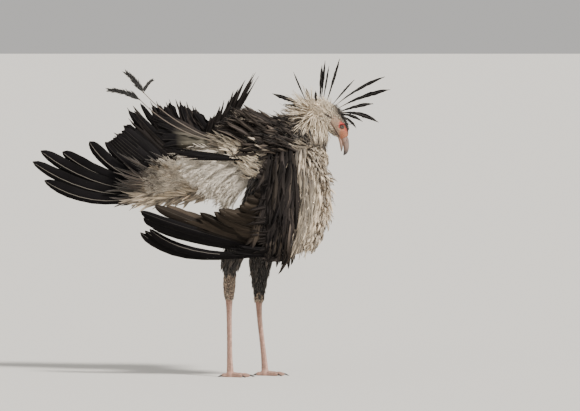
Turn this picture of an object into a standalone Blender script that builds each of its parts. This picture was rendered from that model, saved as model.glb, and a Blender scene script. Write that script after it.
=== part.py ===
"""A life-size secretary bird that stands and ruffles its feathers.

The right wing droops in front of the legs, the left wing is stretched back
past the cocked tail, and the crest stands up. Metres, +Z up, beak towards +X.
The bird's right side faces -Y. The origin is on the floor under its middle.
"""

import math
import random

import bmesh
import bpy
from mathutils import Vector

GAP = 0.0003
LEFT = Vector((0.0, 1.0, 0.0))

# Legs: where each stands, and where its trouser and its shank end.
RIGHT_LEG_X = 0.082
RIGHT_LEG_Y = -0.060
LEFT_LEG_X = 0.213
LEFT_LEG_Y = 0.020
RIGHT_TROUSER_END = 0.402
LEFT_TROUSER_END = 0.318
SHANK_END = 0.026
JOINT_LAP = 0.004

# Eyes: they look sideways and a little forward from the front of the face.
EYE_RADIUS = 0.0088
EYE_CENTRE = Vector((0.5060, 0.0205, 0.9470))
LID_RADIUS = 0.0088
LID_THICKNESS = 0.0017
LID_OUT = 0.0052
LID_SQUASH = 0.86
LID_STEPS = 10
LID_SIDES = 4

# How thick a feather's blade is: a body feather, a wing feather, and a strong free one.
COAT_THICKNESS = 0.0009
FEATHER_THICKNESS = 0.0010
STRONG_THICKNESS = 0.0012

# How wide a feather is along its length: (share of length, share of width).
FLIGHT = ((0.0, 0.24), (0.20, 0.70), (0.58, 1.0), (0.89, 0.78), (1.0, 0.16))
COVERT = ((0.0, 0.35), (0.35, 0.90), (0.75, 1.0), (1.0, 0.22))
LOCK = ((0.0, 0.75), (0.45, 1.0), (0.78, 0.58), (1.0, 0.08))
CREST = ((0.0, 0.26), (0.42, 0.26), (0.76, 1.0), (1.0, 0.14))
TUFT = ((0.0, 0.15), (0.40, 0.80), (0.75, 1.0), (1.0, 0.10))

for old_object in list(bpy.data.objects):
    bpy.data.objects.remove(old_object, do_unlink=True)

scene_collection = bpy.context.scene.collection
draw = random.Random(41)


def material(name, colour, roughness):
    made = bpy.data.materials.new(name)
    made.use_nodes = True
    shader = made.node_tree.nodes["Principled BSDF"]
    shader.inputs["Base Color"].default_value = (*colour, 1.0)
    shader.inputs["Roughness"].default_value = roughness
    shader.inputs["Metallic"].default_value = 0.0
    return made


GREY_PLUMAGE = material("grey plumage", (0.42, 0.40, 0.37), 0.85)
BLACK_PLUMAGE = material("black plumage", (0.03, 0.028, 0.03), 0.7)
HORN = material("grey horn", (0.20, 0.21, 0.23), 0.35)
LEG_SKIN = material("pinkish leg scales", (0.52, 0.33, 0.27), 0.6)
BROWN_EYE = material("brown eye", (0.06, 0.03, 0.015), 0.08)


def curve_at(points, share):
    """The row at a share from 0 to 1 of the smooth curve through the given rows."""
    last = len(points) - 1
    place = min(max(share, 0.0), 1.0) * last
    index = min(int(place), last - 1)
    step = place - index
    before = points[max(index - 1, 0)]
    start = points[index]
    end = points[index + 1]
    after = points[min(index + 2, last)]
    return tuple(
        0.5 * (2 * b + (c - a) * step + (2 * a - 5 * b + 4 * c - d) * step ** 2
               + (3 * b - a - 3 * c + d) * step ** 3)
        for a, b, c, d in zip(before, start, end, after))


def between(low, high, share):
    return low + (high - low) * share


def mesh_object(name, vertices, faces):
    mesh = bpy.data.meshes.new(name)
    mesh.from_pydata([tuple(vertex) for vertex in vertices], [], faces)
    work = bmesh.new()
    work.from_mesh(mesh)
    bmesh.ops.recalc_face_normals(work, faces=work.faces)
    if work.calc_volume(signed=True) < 0.0:
        bmesh.ops.reverse_faces(work, faces=work.faces)
    work.to_mesh(mesh)
    work.free()
    made = bpy.data.objects.new(name, mesh)
    scene_collection.objects.link(made)
    return made


class Form:
    """A rounded body: oval rings along a smooth path.

    A station is x, y, z, half width along the side axis, and half width across it.
    """

    def __init__(self, stations, side, rings, segments):
        rows = [curve_at(stations, ring / (rings - 1)) for ring in range(rings)]
        self.centres = [Vector(row[:3]) for row in rows]
        self.halves = [(max(row[3], 0.0006), max(row[4], 0.0006)) for row in rows]
        self.side = Vector(side)
        self.segments = segments
        self.tangents = []
        for ring in range(rings):
            ahead = self.centres[min(ring + 1, rings - 1)]
            behind = self.centres[max(ring - 1, 0)]
            self.tangents.append((ahead - behind).normalized())

    def ring_point(self, ring, angle):
        tangent = self.tangents[ring]
        side = (self.side - tangent * self.side.dot(tangent)).normalized()
        across = tangent.cross(side)
        half_side, half_across = self.halves[ring]
        return (self.centres[ring] + side * (math.cos(angle) * half_side)
                + across * (math.sin(angle) * half_across))

    def surface(self, share, degrees):
        """A point on the surface, its outward direction and the way along the path."""
        angle = math.radians(degrees)
        place = share * (len(self.centres) - 1)
        ring = min(int(place), len(self.centres) - 2)
        low = self.ring_point(ring, angle)
        high = self.ring_point(ring + 1, angle)
        point = low.lerp(high, place - ring)
        along = (high - low).normalized()
        outward = (self.ring_point(ring, angle + 0.05) - low).cross(along).normalized()
        if outward.dot(point - self.centres[ring]) < 0.0:
            outward.negate()
        return point, outward, along

    def solid(self, name):
        count = self.segments
        vertices = [self.ring_point(ring, math.tau * number / count)
                    for ring in range(len(self.centres)) for number in range(count)]
        faces = [tuple(range(count))]
        for ring in range(len(self.centres) - 1):
            low = ring * count
            high = low + count
            for number in range(count):
                after = (number + 1) % count
                faces.append((low + number, low + after, high + after))
                faces.append((low + number, high + after, high + number))
        faces.append(tuple(range(len(vertices) - count, len(vertices))))
        return mesh_object(name, vertices, faces)


def applied(target):
    """Replace an object's mesh by what its modifiers make of it."""
    graph = bpy.context.evaluated_depsgraph_get()
    mesh = bpy.data.meshes.new_from_object(target.evaluated_get(graph))
    target.modifiers.clear()
    target.data = mesh


def closed_volume(mesh):
    """The volume inside a mesh, or none where it isn't closed."""
    work = bmesh.new()
    work.from_mesh(mesh)
    is_open = any(not edge.is_manifold for edge in work.edges)
    volume = 0.0 if is_open else work.calc_volume(signed=True)
    work.free()
    return volume


def keep_largest(target):
    """Keep the closed surface that holds the most, and drop the rest."""
    work = bmesh.new()
    work.from_mesh(target.data)
    unseen = set(work.faces)
    groups = []
    while unseen:
        start = unseen.pop()
        group = [start]
        stack = [start]
        while stack:
            for edge in stack.pop().edges:
                for neighbour in edge.link_faces:
                    if neighbour in unseen:
                        unseen.discard(neighbour)
                        group.append(neighbour)
                        stack.append(neighbour)
        groups.append(group)

    def enclosed(group):
        total = 0.0
        for face in group:
            corners = [corner.vert.co for corner in face.loops]
            for index in range(1, len(corners) - 1):
                total += corners[0].dot(corners[index].cross(corners[index + 1]))
        return abs(total)

    groups.sort(key=enclosed, reverse=True)
    spare = [face for group in groups[1:] for face in group]
    if spare:
        bmesh.ops.delete(work, geom=spare, context="FACES")
    loose = [vertex for vertex in work.verts if not vertex.link_faces]
    bmesh.ops.delete(work, geom=loose, context="VERTS")
    work.to_mesh(target.data)
    work.free()


def combined(target, others, operation):
    """Join others to the target, or cut them from it, with one Boolean."""
    group = bpy.data.collections.new("joined pieces")
    scene_collection.children.link(group)
    for other in others:
        group.objects.link(other)
        scene_collection.objects.unlink(other)
    plain_mesh = target.data.copy()
    least = closed_volume(plain_mesh) * (0.999 if operation == "UNION" else 0.02)
    for solver in ("EXACT", "MANIFOLD"):
        target.data = plain_mesh.copy()
        boolean = target.modifiers.new("join", "BOOLEAN")
        boolean.operation = operation
        boolean.operand_type = "COLLECTION"
        boolean.collection = group
        boolean.solver = solver
        applied(target)
        if closed_volume(target.data) > least:
            break
    for other in others:
        bpy.data.objects.remove(other, do_unlink=True)
    bpy.data.collections.remove(group)
    keep_largest(target)
    return target


def cut_by(target, cutters):
    """Cut a node back from its neighbours, which keep their own copies."""
    copies = []
    for cutter in cutters:
        copy = cutter.copy()
        copy.data = cutter.data.copy()
        scene_collection.objects.link(copy)
        copies.append(copy)
    return combined(target, copies, "DIFFERENCE")


def grown(source):
    """A copy of a smooth closed object, a little larger all round."""
    copy = source.copy()
    copy.data = source.data.copy()
    scene_collection.objects.link(copy)
    work = bmesh.new()
    work.from_mesh(copy.data)
    work.normal_update()
    moves = [vertex.normal * GAP * 1.3 for vertex in work.verts]
    for vertex, move in zip(work.verts, moves):
        vertex.co += move
    work.to_mesh(copy.data)
    work.free()
    return copy


def finished(target, name, look):
    target.name = name
    target.data.name = name
    target.data.materials.clear()
    target.data.materials.append(look)
    target.data.shade_smooth()
    target.data.set_sharp_from_angle(angle=math.radians(40))
    return target


def vane(root, bend, tip, face, width, thickness, shape, tilt=0.0):
    """A feather: a thin tapered blade on a bent path, alike on both faces."""
    root = Vector(root)
    bend = Vector(bend)
    tip = Vector(tip)
    tilt = math.radians(tilt)
    vertices = []
    for share, wide in shape:
        point = root * (1 - share) ** 2 + bend * (2 * share * (1 - share)) + tip * share ** 2
        tangent = ((bend - root) * (1 - share) + (tip - bend) * share).normalized()
        across = tangent.cross(face).normalized()
        normal = across.cross(tangent)
        across = across * math.cos(tilt) + normal * math.sin(tilt)
        normal = across.cross(tangent)
        half_width = across * (0.5 * width * wide)
        half_thick = normal * (0.5 * thickness * between(1.0, 0.55, share))
        vertices += [point + half_width + half_thick, point - half_width + half_thick,
                     point - half_width - half_thick, point + half_width - half_thick]
    faces = [(0, 1, 2), (0, 2, 3)]
    for row in range(len(shape) - 1):
        low = row * 4
        high = low + 4
        faces += [(low, high, high + 1), (low, high + 1, low + 1)]
        faces += [(low + 3, high + 2, high + 3), (low + 3, low + 2, high + 2)]
        faces += [(low + 1, high + 1, high + 2), (low + 1, high + 2, low + 2)]
        faces += [(low, low + 3, high + 3), (low, high + 3, high)]
    last = len(vertices) - 4
    faces += [(last, last + 2, last + 1), (last, last + 3, last + 2)]
    return mesh_object("vane", vertices, faces)


def fan(count, roots, bends, tips, face, widths, thickness, shape, tilt, uneven=0.0):
    """A row of overlapping feathers from a curve of roots to a curve of tips."""
    made = []
    for number in range(count):
        share = number / (count - 1)
        root = Vector(curve_at(roots, share))
        bend = Vector(curve_at(bends, share))
        tip = Vector(curve_at(tips, share))
        tip = root.lerp(tip, 1.0 + draw.uniform(-uneven, uneven))
        width = between(*widths, share)
        made.append(vane(root, bend, tip, face, width, thickness, shape, tilt))
    return made


def coat_vane(form, share, degrees, lie, length, width, lift, sink, shape, thickness=COAT_THICKNESS):
    """A feather or lock that grows from a form's surface along its lie."""
    point, outward, along = form.surface(share, degrees)
    way = (along * lie[0] + outward.cross(along) * lie[1]).normalized()
    length = length * draw.uniform(0.88, 1.14)
    root = point - outward * sink
    bend = point + way * (length * 0.45) + outward * (lift * 0.55 + 0.004)
    tip = point + way * length + outward * lift
    return vane(root, bend, tip, outward, width, thickness, shape, draw.uniform(-7.0, 7.0))


def coat_rows(form, rows, lie, length, width, lift, sink, shape):
    """Rows of coat feathers: each row gives its share of the form and its angles."""
    made = []
    for share, first, last, count in rows:
        for number in range(count):
            degrees = between(first, last, number / max(count - 1, 1)) + draw.uniform(-3.0, 3.0)
            made.append(coat_vane(form, share, degrees, lie, length, width,
                                  lift * draw.uniform(0.7, 1.3), sink, shape))
    return made


# Trunk: the rounded body from the rump to the breast.
torso_form = Form(
    [(0.080, 0.0, 0.860, 0.020, 0.018), (0.092, 0.0, 0.856, 0.034, 0.032),
     (0.122, 0.0, 0.843, 0.054, 0.056), (0.175, 0.0, 0.832, 0.080, 0.096),
     (0.232, 0.0, 0.824, 0.098, 0.130), (0.289, 0.0, 0.817, 0.104, 0.146),
     (0.346, 0.0, 0.814, 0.100, 0.134), (0.391, 0.0, 0.810, 0.084, 0.106),
     (0.424, 0.0, 0.804, 0.056, 0.070), (0.440, 0.0, 0.800, 0.022, 0.026)],
    LEFT, 13, 16)
torso = torso_form.solid("torso")
torso_cut = grown(torso)

# Head: the skull, tipped down at the front, with the nape behind it.
head_form = Form(
    [(0.372, 0.0, 1.020, 0.014, 0.016), (0.386, 0.0, 1.016, 0.028, 0.032),
     (0.408, 0.0, 1.007, 0.038, 0.043), (0.436, 0.0, 0.994, 0.040, 0.047),
     (0.464, 0.0, 0.976, 0.037, 0.044), (0.487, 0.0, 0.953, 0.031, 0.036),
     (0.503, 0.0, 0.928, 0.024, 0.028), (0.513, 0.0, 0.906, 0.0138, 0.0165)],
    LEFT, 11, 14)
head = head_form.solid("head")
head_cut = grown(head)


def lid_ring(centre, side):
    """A raised ring of eyelid round an eye, four-sided across."""
    vertices = []
    faces = []
    for step in range(LID_STEPS):
        angle = math.tau * step / LID_STEPS
        outward = Vector((math.cos(angle), 0.0, LID_SQUASH * math.sin(angle)))
        spot = centre + outward * LID_RADIUS + Vector((0.0, side * LID_OUT, 0.0))
        outward.normalize()
        for turn in range(LID_SIDES):
            roll = math.tau * turn / LID_SIDES
            vertices.append(spot + outward * (LID_THICKNESS * math.cos(roll))
                            + Vector((0.0, LID_THICKNESS * math.sin(roll), 0.0)))
            after = (turn + 1) % LID_SIDES
            low = step * LID_SIDES
            high = ((step + 1) % LID_STEPS) * LID_SIDES
            faces.append((low + turn, low + after, high + after, high + turn))
    return mesh_object("lid", vertices, faces)


# Eyes: a ball in its socket on each side, under a ring of lid.
for side_name, side in (("right", -1.0), ("left", 1.0)):
    centre = Vector((EYE_CENTRE.x, EYE_CENTRE.y * side, EYE_CENTRE.z))
    combined(head, [lid_ring(centre, side)], "UNION")
    ball = Form([(centre.x, centre.y - EYE_RADIUS * math.cos(math.pi * step / 8), centre.z,
                  EYE_RADIUS * math.sin(math.pi * step / 8), EYE_RADIUS * math.sin(math.pi * step / 8))
                 for step in range(9)], Vector((1.0, 0.0, 0.0)), 8, 10).solid("eye_" + side_name)
    combined(head, [grown(ball)], "DIFFERENCE")
    finished(ball, "eye_" + side_name, BROWN_EYE)

# Beak: a hooked upper half, with a nostril on each side, over a shorter lower half.
beak_upper = Form(
    [(0.506, 0.0, 0.918, 0.012, 0.011), (0.516, 0.0, 0.898, 0.0125, 0.0125),
     (0.520, 0.0, 0.880, 0.011, 0.0115), (0.521, 0.0, 0.864, 0.0085, 0.0095),
     (0.518, 0.0, 0.850, 0.0055, 0.0070), (0.511, 0.0, 0.8395, 0.0012, 0.0015)],
    LEFT, 11, 12).solid("beak_upper")
beak_lower = Form(
    [(0.494, 0.0, 0.914, 0.012, 0.007), (0.4995, 0.0, 0.895, 0.011, 0.0065),
     (0.5025, 0.0, 0.880, 0.009, 0.006), (0.5035, 0.0, 0.866, 0.006, 0.0045),
     (0.5025, 0.0, 0.853, 0.0012, 0.0012)],
    LEFT, 8, 10).solid("beak_lower")
for side in (-1.0, 1.0):
    nostril = Form([(0.5215, side * 0.0122, 0.8990, 0.0004, 0.0004),
                    (0.5225, side * 0.0122, 0.8960, 0.0016, 0.0013),
                    (0.5232, side * 0.0120, 0.8925, 0.0016, 0.0013),
                    (0.5236, side * 0.0118, 0.8900, 0.0004, 0.0004)], LEFT, 5, 6).solid("nostril")
    combined(beak_upper, [nostril], "DIFFERENCE")
    mouth_corner = Form([(0.5100, side * 0.0158, 0.9040, 0.0030, 0.0008),
                         (0.5020, side * 0.0196, 0.9150, 0.0030, 0.0008),
                         (0.4960, side * 0.0222, 0.9240, 0.0012, 0.0004)], LEFT, 4, 6).solid("mouth")
    combined(head, [mouth_corner], "DIFFERENCE")
cut_by(beak_upper, [head_cut])
cut_by(beak_lower, [head_cut])
combined(beak_lower, [grown(beak_upper)], "DIFFERENCE")
finished(beak_upper, "beak_upper", HORN)
finished(beak_lower, "beak_lower", HORN)

# Crest: long feathers, narrow in the shaft and broad near the tip, from the nape and crown.
# Each has its root, bend and tip as x and z, its width, and how far it leans to one side.
CREST_FEATHERS = (
    ((0.400, 1.020), (0.330, 1.040), (0.241, 1.073), 0.016, -0.012),
    ((0.398, 1.012), (0.344, 1.026), (0.285, 1.030), 0.012, 0.016),
    ((0.384, 1.012), (0.360, 1.060), (0.321, 1.155), 0.007, -0.020),
    ((0.395, 1.012), (0.382, 1.050), (0.369, 1.091), 0.013, 0.026),
    ((0.408, 1.020), (0.406, 1.048), (0.405, 1.082), 0.012, -0.030),
    ((0.418, 1.010), (0.424, 1.080), (0.429, 1.178), 0.016, -0.010),
    ((0.422, 1.010), (0.432, 1.090), (0.443, 1.195), 0.015, 0.014),
    ((0.428, 1.010), (0.440, 1.080), (0.454, 1.176), 0.010, 0.040),
    ((0.436, 1.005), (0.460, 1.080), (0.496, 1.205), 0.011, -0.026),
    ((0.447, 1.000), (0.490, 1.060), (0.551, 1.123), 0.009, 0.030),
    ((0.452, 1.000), (0.540, 1.090), (0.665, 1.136), 0.014, -0.014),
    ((0.455, 0.995), (0.560, 1.065), (0.683, 1.087), 0.019, 0.012),
    ((0.460, 0.985), (0.530, 1.026), (0.621, 1.035), 0.017, -0.030),
    ((0.468, 0.988), (0.540, 1.022), (0.641, 0.965), 0.019, 0.024),
    ((0.468, 0.982), (0.515, 1.012), (0.580, 0.969), 0.013, -0.034),
    ((0.474, 0.976), (0.520, 1.000), (0.559, 0.942), 0.013, 0.030),
)
crest = []
for root, bend, tip, width, lean in CREST_FEATHERS:
    crest.append(vane((root[0], lean * 0.30, root[1]), (bend[0], lean * 0.65, bend[1]),
                      (tip[0], lean * 1.6, tip[1]), LEFT, width, FEATHER_THICKNESS, CREST,
                      draw.uniform(-20.0, 20.0)))
combined(head, crest, "UNION")
nape_rows = ((0.12, 50, 130, 3), (0.28, 36, 144, 4), (0.46, 60, 120, 2))
combined(head, coat_rows(head_form, nape_rows, (-1.0, 0.0), 0.044, 0.020, 0.024, 0.010, LOCK), "UNION")
finished(head, "head", GREY_PLUMAGE)

# Neck: short and drawn in, with a ruff of raised plumes that stand out most behind.
neck_form = Form(
    [(0.374, 0.0, 0.850, 0.062, 0.066), (0.384, 0.0, 0.895, 0.058, 0.062),
     (0.390, 0.0, 0.945, 0.052, 0.060), (0.400, 0.0, 0.985, 0.044, 0.050),
     (0.410, 0.0, 1.005, 0.026, 0.030)],
    LEFT, 8, 14)
neck = neck_form.solid("neck")
ruff = coat_rows(neck_form, ((0.74, 30, 150, 5), (0.60, 22, 158, 5)), (-0.75, 0.0), 0.062, 0.024, 0.040,
                 0.010, LOCK)
ruff += coat_rows(neck_form, ((0.46, 20, 160, 5),), (-1.0, 0.0), 0.070, 0.026, 0.026, 0.010, LOCK)
ruff += coat_rows(neck_form, ((0.64, 190, 350, 4), (0.42, 200, 340, 4)), (-1.0, 0.0), 0.050, 0.024,
                  0.012, 0.010, LOCK)
combined(neck, ruff, "UNION")
cut_by(neck, [torso_cut, head_cut])
finished(neck, "neck", GREY_PLUMAGE)

# Back: ruffled scapulars on the trunk, and loose plumes under the rump.
scapulars = []
for share, first, last, count, lift in ((0.50, 60, 150, 4, 0.040), (0.41, 40, 152, 5, 0.032),
                                        (0.32, 45, 150, 4, 0.024)):
    scapulars += coat_rows(torso_form, ((share, first, last, count),), (-1.0, 0.0), 0.088, 0.038, lift,
                           0.012, COVERT)
scapulars += fan(
    5, ((0.140, -0.046, 0.872), (0.146, 0.0, 0.893), (0.140, 0.046, 0.872)),
    ((0.085, -0.056, 0.908), (0.090, 0.0, 0.935), (0.085, 0.056, 0.908)),
    ((0.018, -0.052, 0.920), (0.006, 0.0, 0.945), (0.018, 0.052, 0.920)),
    Vector((0.3, 0.0, 1.0)), (0.034, 0.034), FEATHER_THICKNESS, COVERT, 8.0, 0.08)
scapulars.append(vane((0.205, -0.020, 0.925), (0.190, -0.024, 0.985), (0.122, -0.028, 1.026), LEFT,
                      0.022, STRONG_THICKNESS, COVERT))
PLUME_ROWS = (((0.114, 0.810), (0.036, 0.802), (-0.045, 0.716)),
              ((0.132, 0.788), (0.072, 0.756), (0.004, 0.684)),
              ((0.138, 0.780), (0.088, 0.736), (0.046, 0.660)))
plumes = []
for root, bend, tip in PLUME_ROWS:
    for number in range(4):
        place = between(-1.0, 1.0, number / 3)
        fall = draw.uniform(-0.010, 0.010)
        plumes.append(vane((root[0], place * 0.030, root[1]), (bend[0], place * 0.052, bend[1]),
                           (tip[0] + fall, place * 0.066, tip[1] + fall), Vector((0.25, 1.0, 0.35 * place)),
                           0.036, FEATHER_THICKNESS, LOCK))
combined(torso, scapulars, "UNION")
combined(torso, plumes, "UNION")
finished(torso, "torso", GREY_PLUMAGE)

# Right wing: it hangs from the shoulder, the hand turned back at the bottom.
right_arm_form = Form(
    [(0.345, -0.080, 0.868, 0.020, 0.030), (0.352, -0.104, 0.826, 0.023, 0.058),
     (0.360, -0.126, 0.766, 0.018, 0.076), (0.366, -0.142, 0.700, 0.014, 0.083),
     (0.362, -0.154, 0.635, 0.012, 0.084), (0.350, -0.163, 0.570, 0.010, 0.070),
     (0.342, -0.169, 0.520, 0.009, 0.050), (0.340, -0.172, 0.492, 0.008, 0.030)],
    LEFT, 11, 12)
right_arm = right_arm_form.solid("wing_right_arm")
cut_by(right_arm, [torso_cut])
right_arm_cut = grown(right_arm)
RIGHT_ARM_BONE = ((0.338, -0.172, 0.532), (0.345, -0.160, 0.606), (0.340, -0.146, 0.690),
                  (0.332, -0.126, 0.765), (0.325, -0.112, 0.810))
secondaries = fan(
    11, RIGHT_ARM_BONE,
    ((0.190, -0.182, 0.512), (0.190, -0.176, 0.584), (0.215, -0.162, 0.668), (0.250, -0.142, 0.745),
     (0.262, -0.126, 0.805)),
    ((-0.034, -0.152, 0.606), (0.050, -0.156, 0.634), (0.129, -0.152, 0.664), (0.168, -0.144, 0.707),
     (0.190, -0.136, 0.755), (0.206, -0.126, 0.815)),
    LEFT, (0.044, 0.042), FEATHER_THICKNESS, FLIGHT, -19.0, 0.02)
great_coverts = fan(
    7, ((0.350, -0.176, 0.535), (0.360, -0.166, 0.606), (0.355, -0.152, 0.690), (0.345, -0.126, 0.785)),
    ((0.262, -0.190, 0.501), (0.274, -0.186, 0.575), (0.280, -0.170, 0.670), (0.286, -0.144, 0.775)),
    ((0.205, -0.186, 0.489), (0.205, -0.184, 0.552), (0.212, -0.172, 0.630), (0.226, -0.152, 0.735)),
    LEFT, (0.044, 0.046), FEATHER_THICKNESS, COVERT, -16.0, 0.05)
middle_coverts = fan(
    6, ((0.356, -0.1755, 0.546), (0.376, -0.167, 0.612), (0.374, -0.152, 0.700), (0.358, -0.130, 0.780)),
    ((0.306, -0.196, 0.506), (0.326, -0.190, 0.575), (0.326, -0.176, 0.665), (0.318, -0.150, 0.760)),
    ((0.266, -0.196, 0.468), (0.270, -0.192, 0.540), (0.274, -0.178, 0.618), (0.280, -0.156, 0.712)),
    LEFT, (0.042, 0.048), FEATHER_THICKNESS, COVERT, -16.0, 0.06)
small_coverts = fan(
    5, ((0.374, -0.170, 0.560), (0.398, -0.158, 0.640), (0.398, -0.144, 0.725), (0.380, -0.124, 0.800)),
    ((0.354, -0.190, 0.520), (0.374, -0.188, 0.595), (0.376, -0.176, 0.682), (0.360, -0.152, 0.772)),
    ((0.320, -0.199, 0.478), (0.334, -0.198, 0.548), (0.336, -0.186, 0.632), (0.326, -0.164, 0.728)),
    LEFT, (0.044, 0.052), FEATHER_THICKNESS, COVERT, -16.0, 0.08)
front_coverts = fan(
    6, ((0.374, -0.166, 0.540), (0.414, -0.152, 0.640), (0.422, -0.140, 0.710), (0.405, -0.122, 0.790)),
    ((0.392, -0.182, 0.508), (0.450, -0.172, 0.610), (0.458, -0.162, 0.690), (0.444, -0.144, 0.775)),
    ((0.376, -0.190, 0.470), (0.452, -0.180, 0.575), (0.474, -0.172, 0.645), (0.452, -0.152, 0.735)),
    LEFT, (0.036, 0.044), FEATHER_THICKNESS, COVERT, -16.0, 0.08)
combined(right_arm, secondaries, "UNION")
combined(right_arm, great_coverts, "UNION")
combined(right_arm, middle_coverts + small_coverts, "UNION")
combined(right_arm, front_coverts, "UNION")
cut_by(right_arm, [torso_cut])
finished(right_arm, "wing_right_arm", BLACK_PLUMAGE)

right_hand_form = Form(
    [(0.342, -0.1715, 0.518, 0.008, 0.022), (0.326, -0.1720, 0.488, 0.009, 0.022),
     (0.292, -0.1715, 0.472, 0.008, 0.018), (0.250, -0.1690, 0.474, 0.006, 0.014),
     (0.206, -0.1660, 0.487, 0.003, 0.006)],
    LEFT, 9, 10)
right_hand = right_hand_form.solid("wing_right_hand")
cut_by(right_hand, [right_arm_cut])
lower_primaries = fan(
    3, ((0.214, -0.1652, 0.486), (0.232, -0.1670, 0.480), (0.248, -0.1685, 0.475)),
    ((-0.100, -0.138, 0.420), (-0.094, -0.140, 0.430), (-0.088, -0.142, 0.440)),
    ((-0.258, -0.080, 0.549), (-0.240, -0.084, 0.556), (-0.222, -0.088, 0.562)),
    LEFT, (0.034, 0.036), FEATHER_THICKNESS, FLIGHT, -4.0)
upper_primaries = fan(
    7, ((0.260, -0.1700, 0.474), (0.290, -0.1732, 0.474), (0.318, -0.1765, 0.486)),
    ((-0.100, -0.145, 0.528), (-0.130, -0.148, 0.556), (-0.060, -0.151, 0.588), (0.000, -0.156, 0.582),
     (0.060, -0.162, 0.566)),
    ((-0.222, -0.092, 0.586), (-0.246, -0.096, 0.604), (-0.256, -0.100, 0.630), (-0.200, -0.106, 0.634),
     (-0.150, -0.112, 0.638), (-0.095, -0.118, 0.624), (-0.045, -0.124, 0.612)),
    LEFT, (0.036, 0.044), FEATHER_THICKNESS, FLIGHT, -4.0)
primary_coverts = fan(
    5, ((0.232, -0.170, 0.482), (0.275, -0.175, 0.473), (0.318, -0.178, 0.483)),
    ((0.160, -0.176, 0.463), (0.190, -0.179, 0.469), (0.235, -0.183, 0.477)),
    ((0.090, -0.172, 0.465), (0.110, -0.176, 0.481), (0.150, -0.180, 0.497)),
    LEFT, (0.028, 0.031), FEATHER_THICKNESS, COVERT, -4.0, 0.05)
alula = fan(
    2, ((0.300, -0.177, 0.464), (0.312, -0.178, 0.468), (0.322, -0.178, 0.475)),
    ((0.262, -0.184, 0.449), (0.270, -0.186, 0.453), (0.284, -0.188, 0.459)),
    ((0.205, -0.182, 0.455), (0.222, -0.184, 0.449), (0.244, -0.186, 0.447)),
    LEFT, (0.020, 0.022), FEATHER_THICKNESS, COVERT, -4.0)
combined(right_hand, lower_primaries + upper_primaries, "UNION")
combined(right_hand, primary_coverts + alula, "UNION")
finished(right_hand, "wing_right_hand", BLACK_PLUMAGE)

# Left wing: stretched back beyond the tail with its underside to -Y.
left_arm_form = Form(
    [(0.330, 0.078, 0.850, 0.024, 0.040), (0.265, 0.104, 0.826, 0.024, 0.048),
     (0.190, 0.120, 0.800, 0.020, 0.050), (0.110, 0.130, 0.775, 0.017, 0.050),
     (0.030, 0.137, 0.752, 0.014, 0.046), (-0.045, 0.142, 0.730, 0.011, 0.036),
     (-0.068, 0.143, 0.724, 0.010, 0.032)],
    LEFT, 11, 12)
left_arm = left_arm_form.solid("wing_left_arm")
cut_by(left_arm, [torso_cut])
left_arm_cut = grown(left_arm)
LEFT_ARM_BONE = ((-0.052, 0.149, 0.729), (0.030, 0.142, 0.752), (0.110, 0.134, 0.776), (0.195, 0.126, 0.802))
left_secondaries = fan(
    13, LEFT_ARM_BONE,
    ((-0.210, 0.172, 0.815), (-0.150, 0.168, 0.870), (-0.050, 0.158, 0.900), (0.080, 0.144, 0.890)),
    ((-0.358, 0.184, 0.912), (-0.330, 0.180, 0.948), (-0.300, 0.176, 0.985), (-0.277, 0.172, 1.015),
     (-0.220, 0.168, 1.026), (-0.185, 0.165, 1.024), (-0.148, 0.162, 1.030), (-0.103, 0.159, 1.034),
     (-0.075, 0.156, 1.016), (-0.050, 0.153, 1.004), (-0.028, 0.150, 0.986), (0.010, 0.147, 0.965),
     (0.060, 0.142, 0.930)),
    LEFT, (0.048, 0.042), FEATHER_THICKNESS, FLIGHT, 12.0)
# The raised inner feathers of the left wing: root, bend, tip and width of each.
TERTIALS = (((-0.045, 0.134, 0.755), (0.040, 0.112, 0.985), (0.177, 0.092, 1.148), 0.036),
            ((-0.055, 0.137, 0.752), (0.018, 0.117, 0.965), (0.150, 0.102, 1.110), 0.034),
            ((-0.060, 0.140, 0.748), (-0.004, 0.122, 0.945), (0.105, 0.110, 1.062), 0.032))
tertials = [vane(root, bend, tip, LEFT, width, STRONG_THICKNESS, FLIGHT, 8.0)
            for root, bend, tip, width in TERTIALS]
lining = fan(
    9, ((-0.040, 0.131, 0.716), (0.050, 0.125, 0.738), (0.130, 0.117, 0.762), (0.200, 0.108, 0.785)),
    ((-0.100, 0.121, 0.764), (-0.006, 0.117, 0.790), (0.080, 0.112, 0.815), (0.150, 0.104, 0.830)),
    ((-0.176, 0.128, 0.808), (-0.090, 0.124, 0.845), (0.010, 0.122, 0.862), (0.110, 0.112, 0.862)),
    LEFT, (0.046, 0.046), FEATHER_THICKNESS, COVERT, 14.0, 0.06)
left_edge = fan(
    6, ((-0.040, 0.141, 0.702), (0.040, 0.132, 0.716), (0.130, 0.122, 0.736), (0.215, 0.110, 0.766)),
    ((-0.064, 0.137, 0.674), (0.010, 0.122, 0.686), (0.090, 0.112, 0.712), (0.170, 0.102, 0.748)),
    ((-0.098, 0.139, 0.656), (-0.036, 0.120, 0.664), (0.030, 0.110, 0.700), (0.090, 0.102, 0.752)),
    LEFT, (0.030, 0.036), FEATHER_THICKNESS, LOCK, 6.0, 0.10)
combined(left_arm, left_secondaries, "UNION")
combined(left_arm, tertials, "UNION")
combined(left_arm, lining, "UNION")
combined(left_arm, left_edge, "UNION")
cut_by(left_arm, [torso_cut])
finished(left_arm, "wing_left_arm", BLACK_PLUMAGE)

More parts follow.
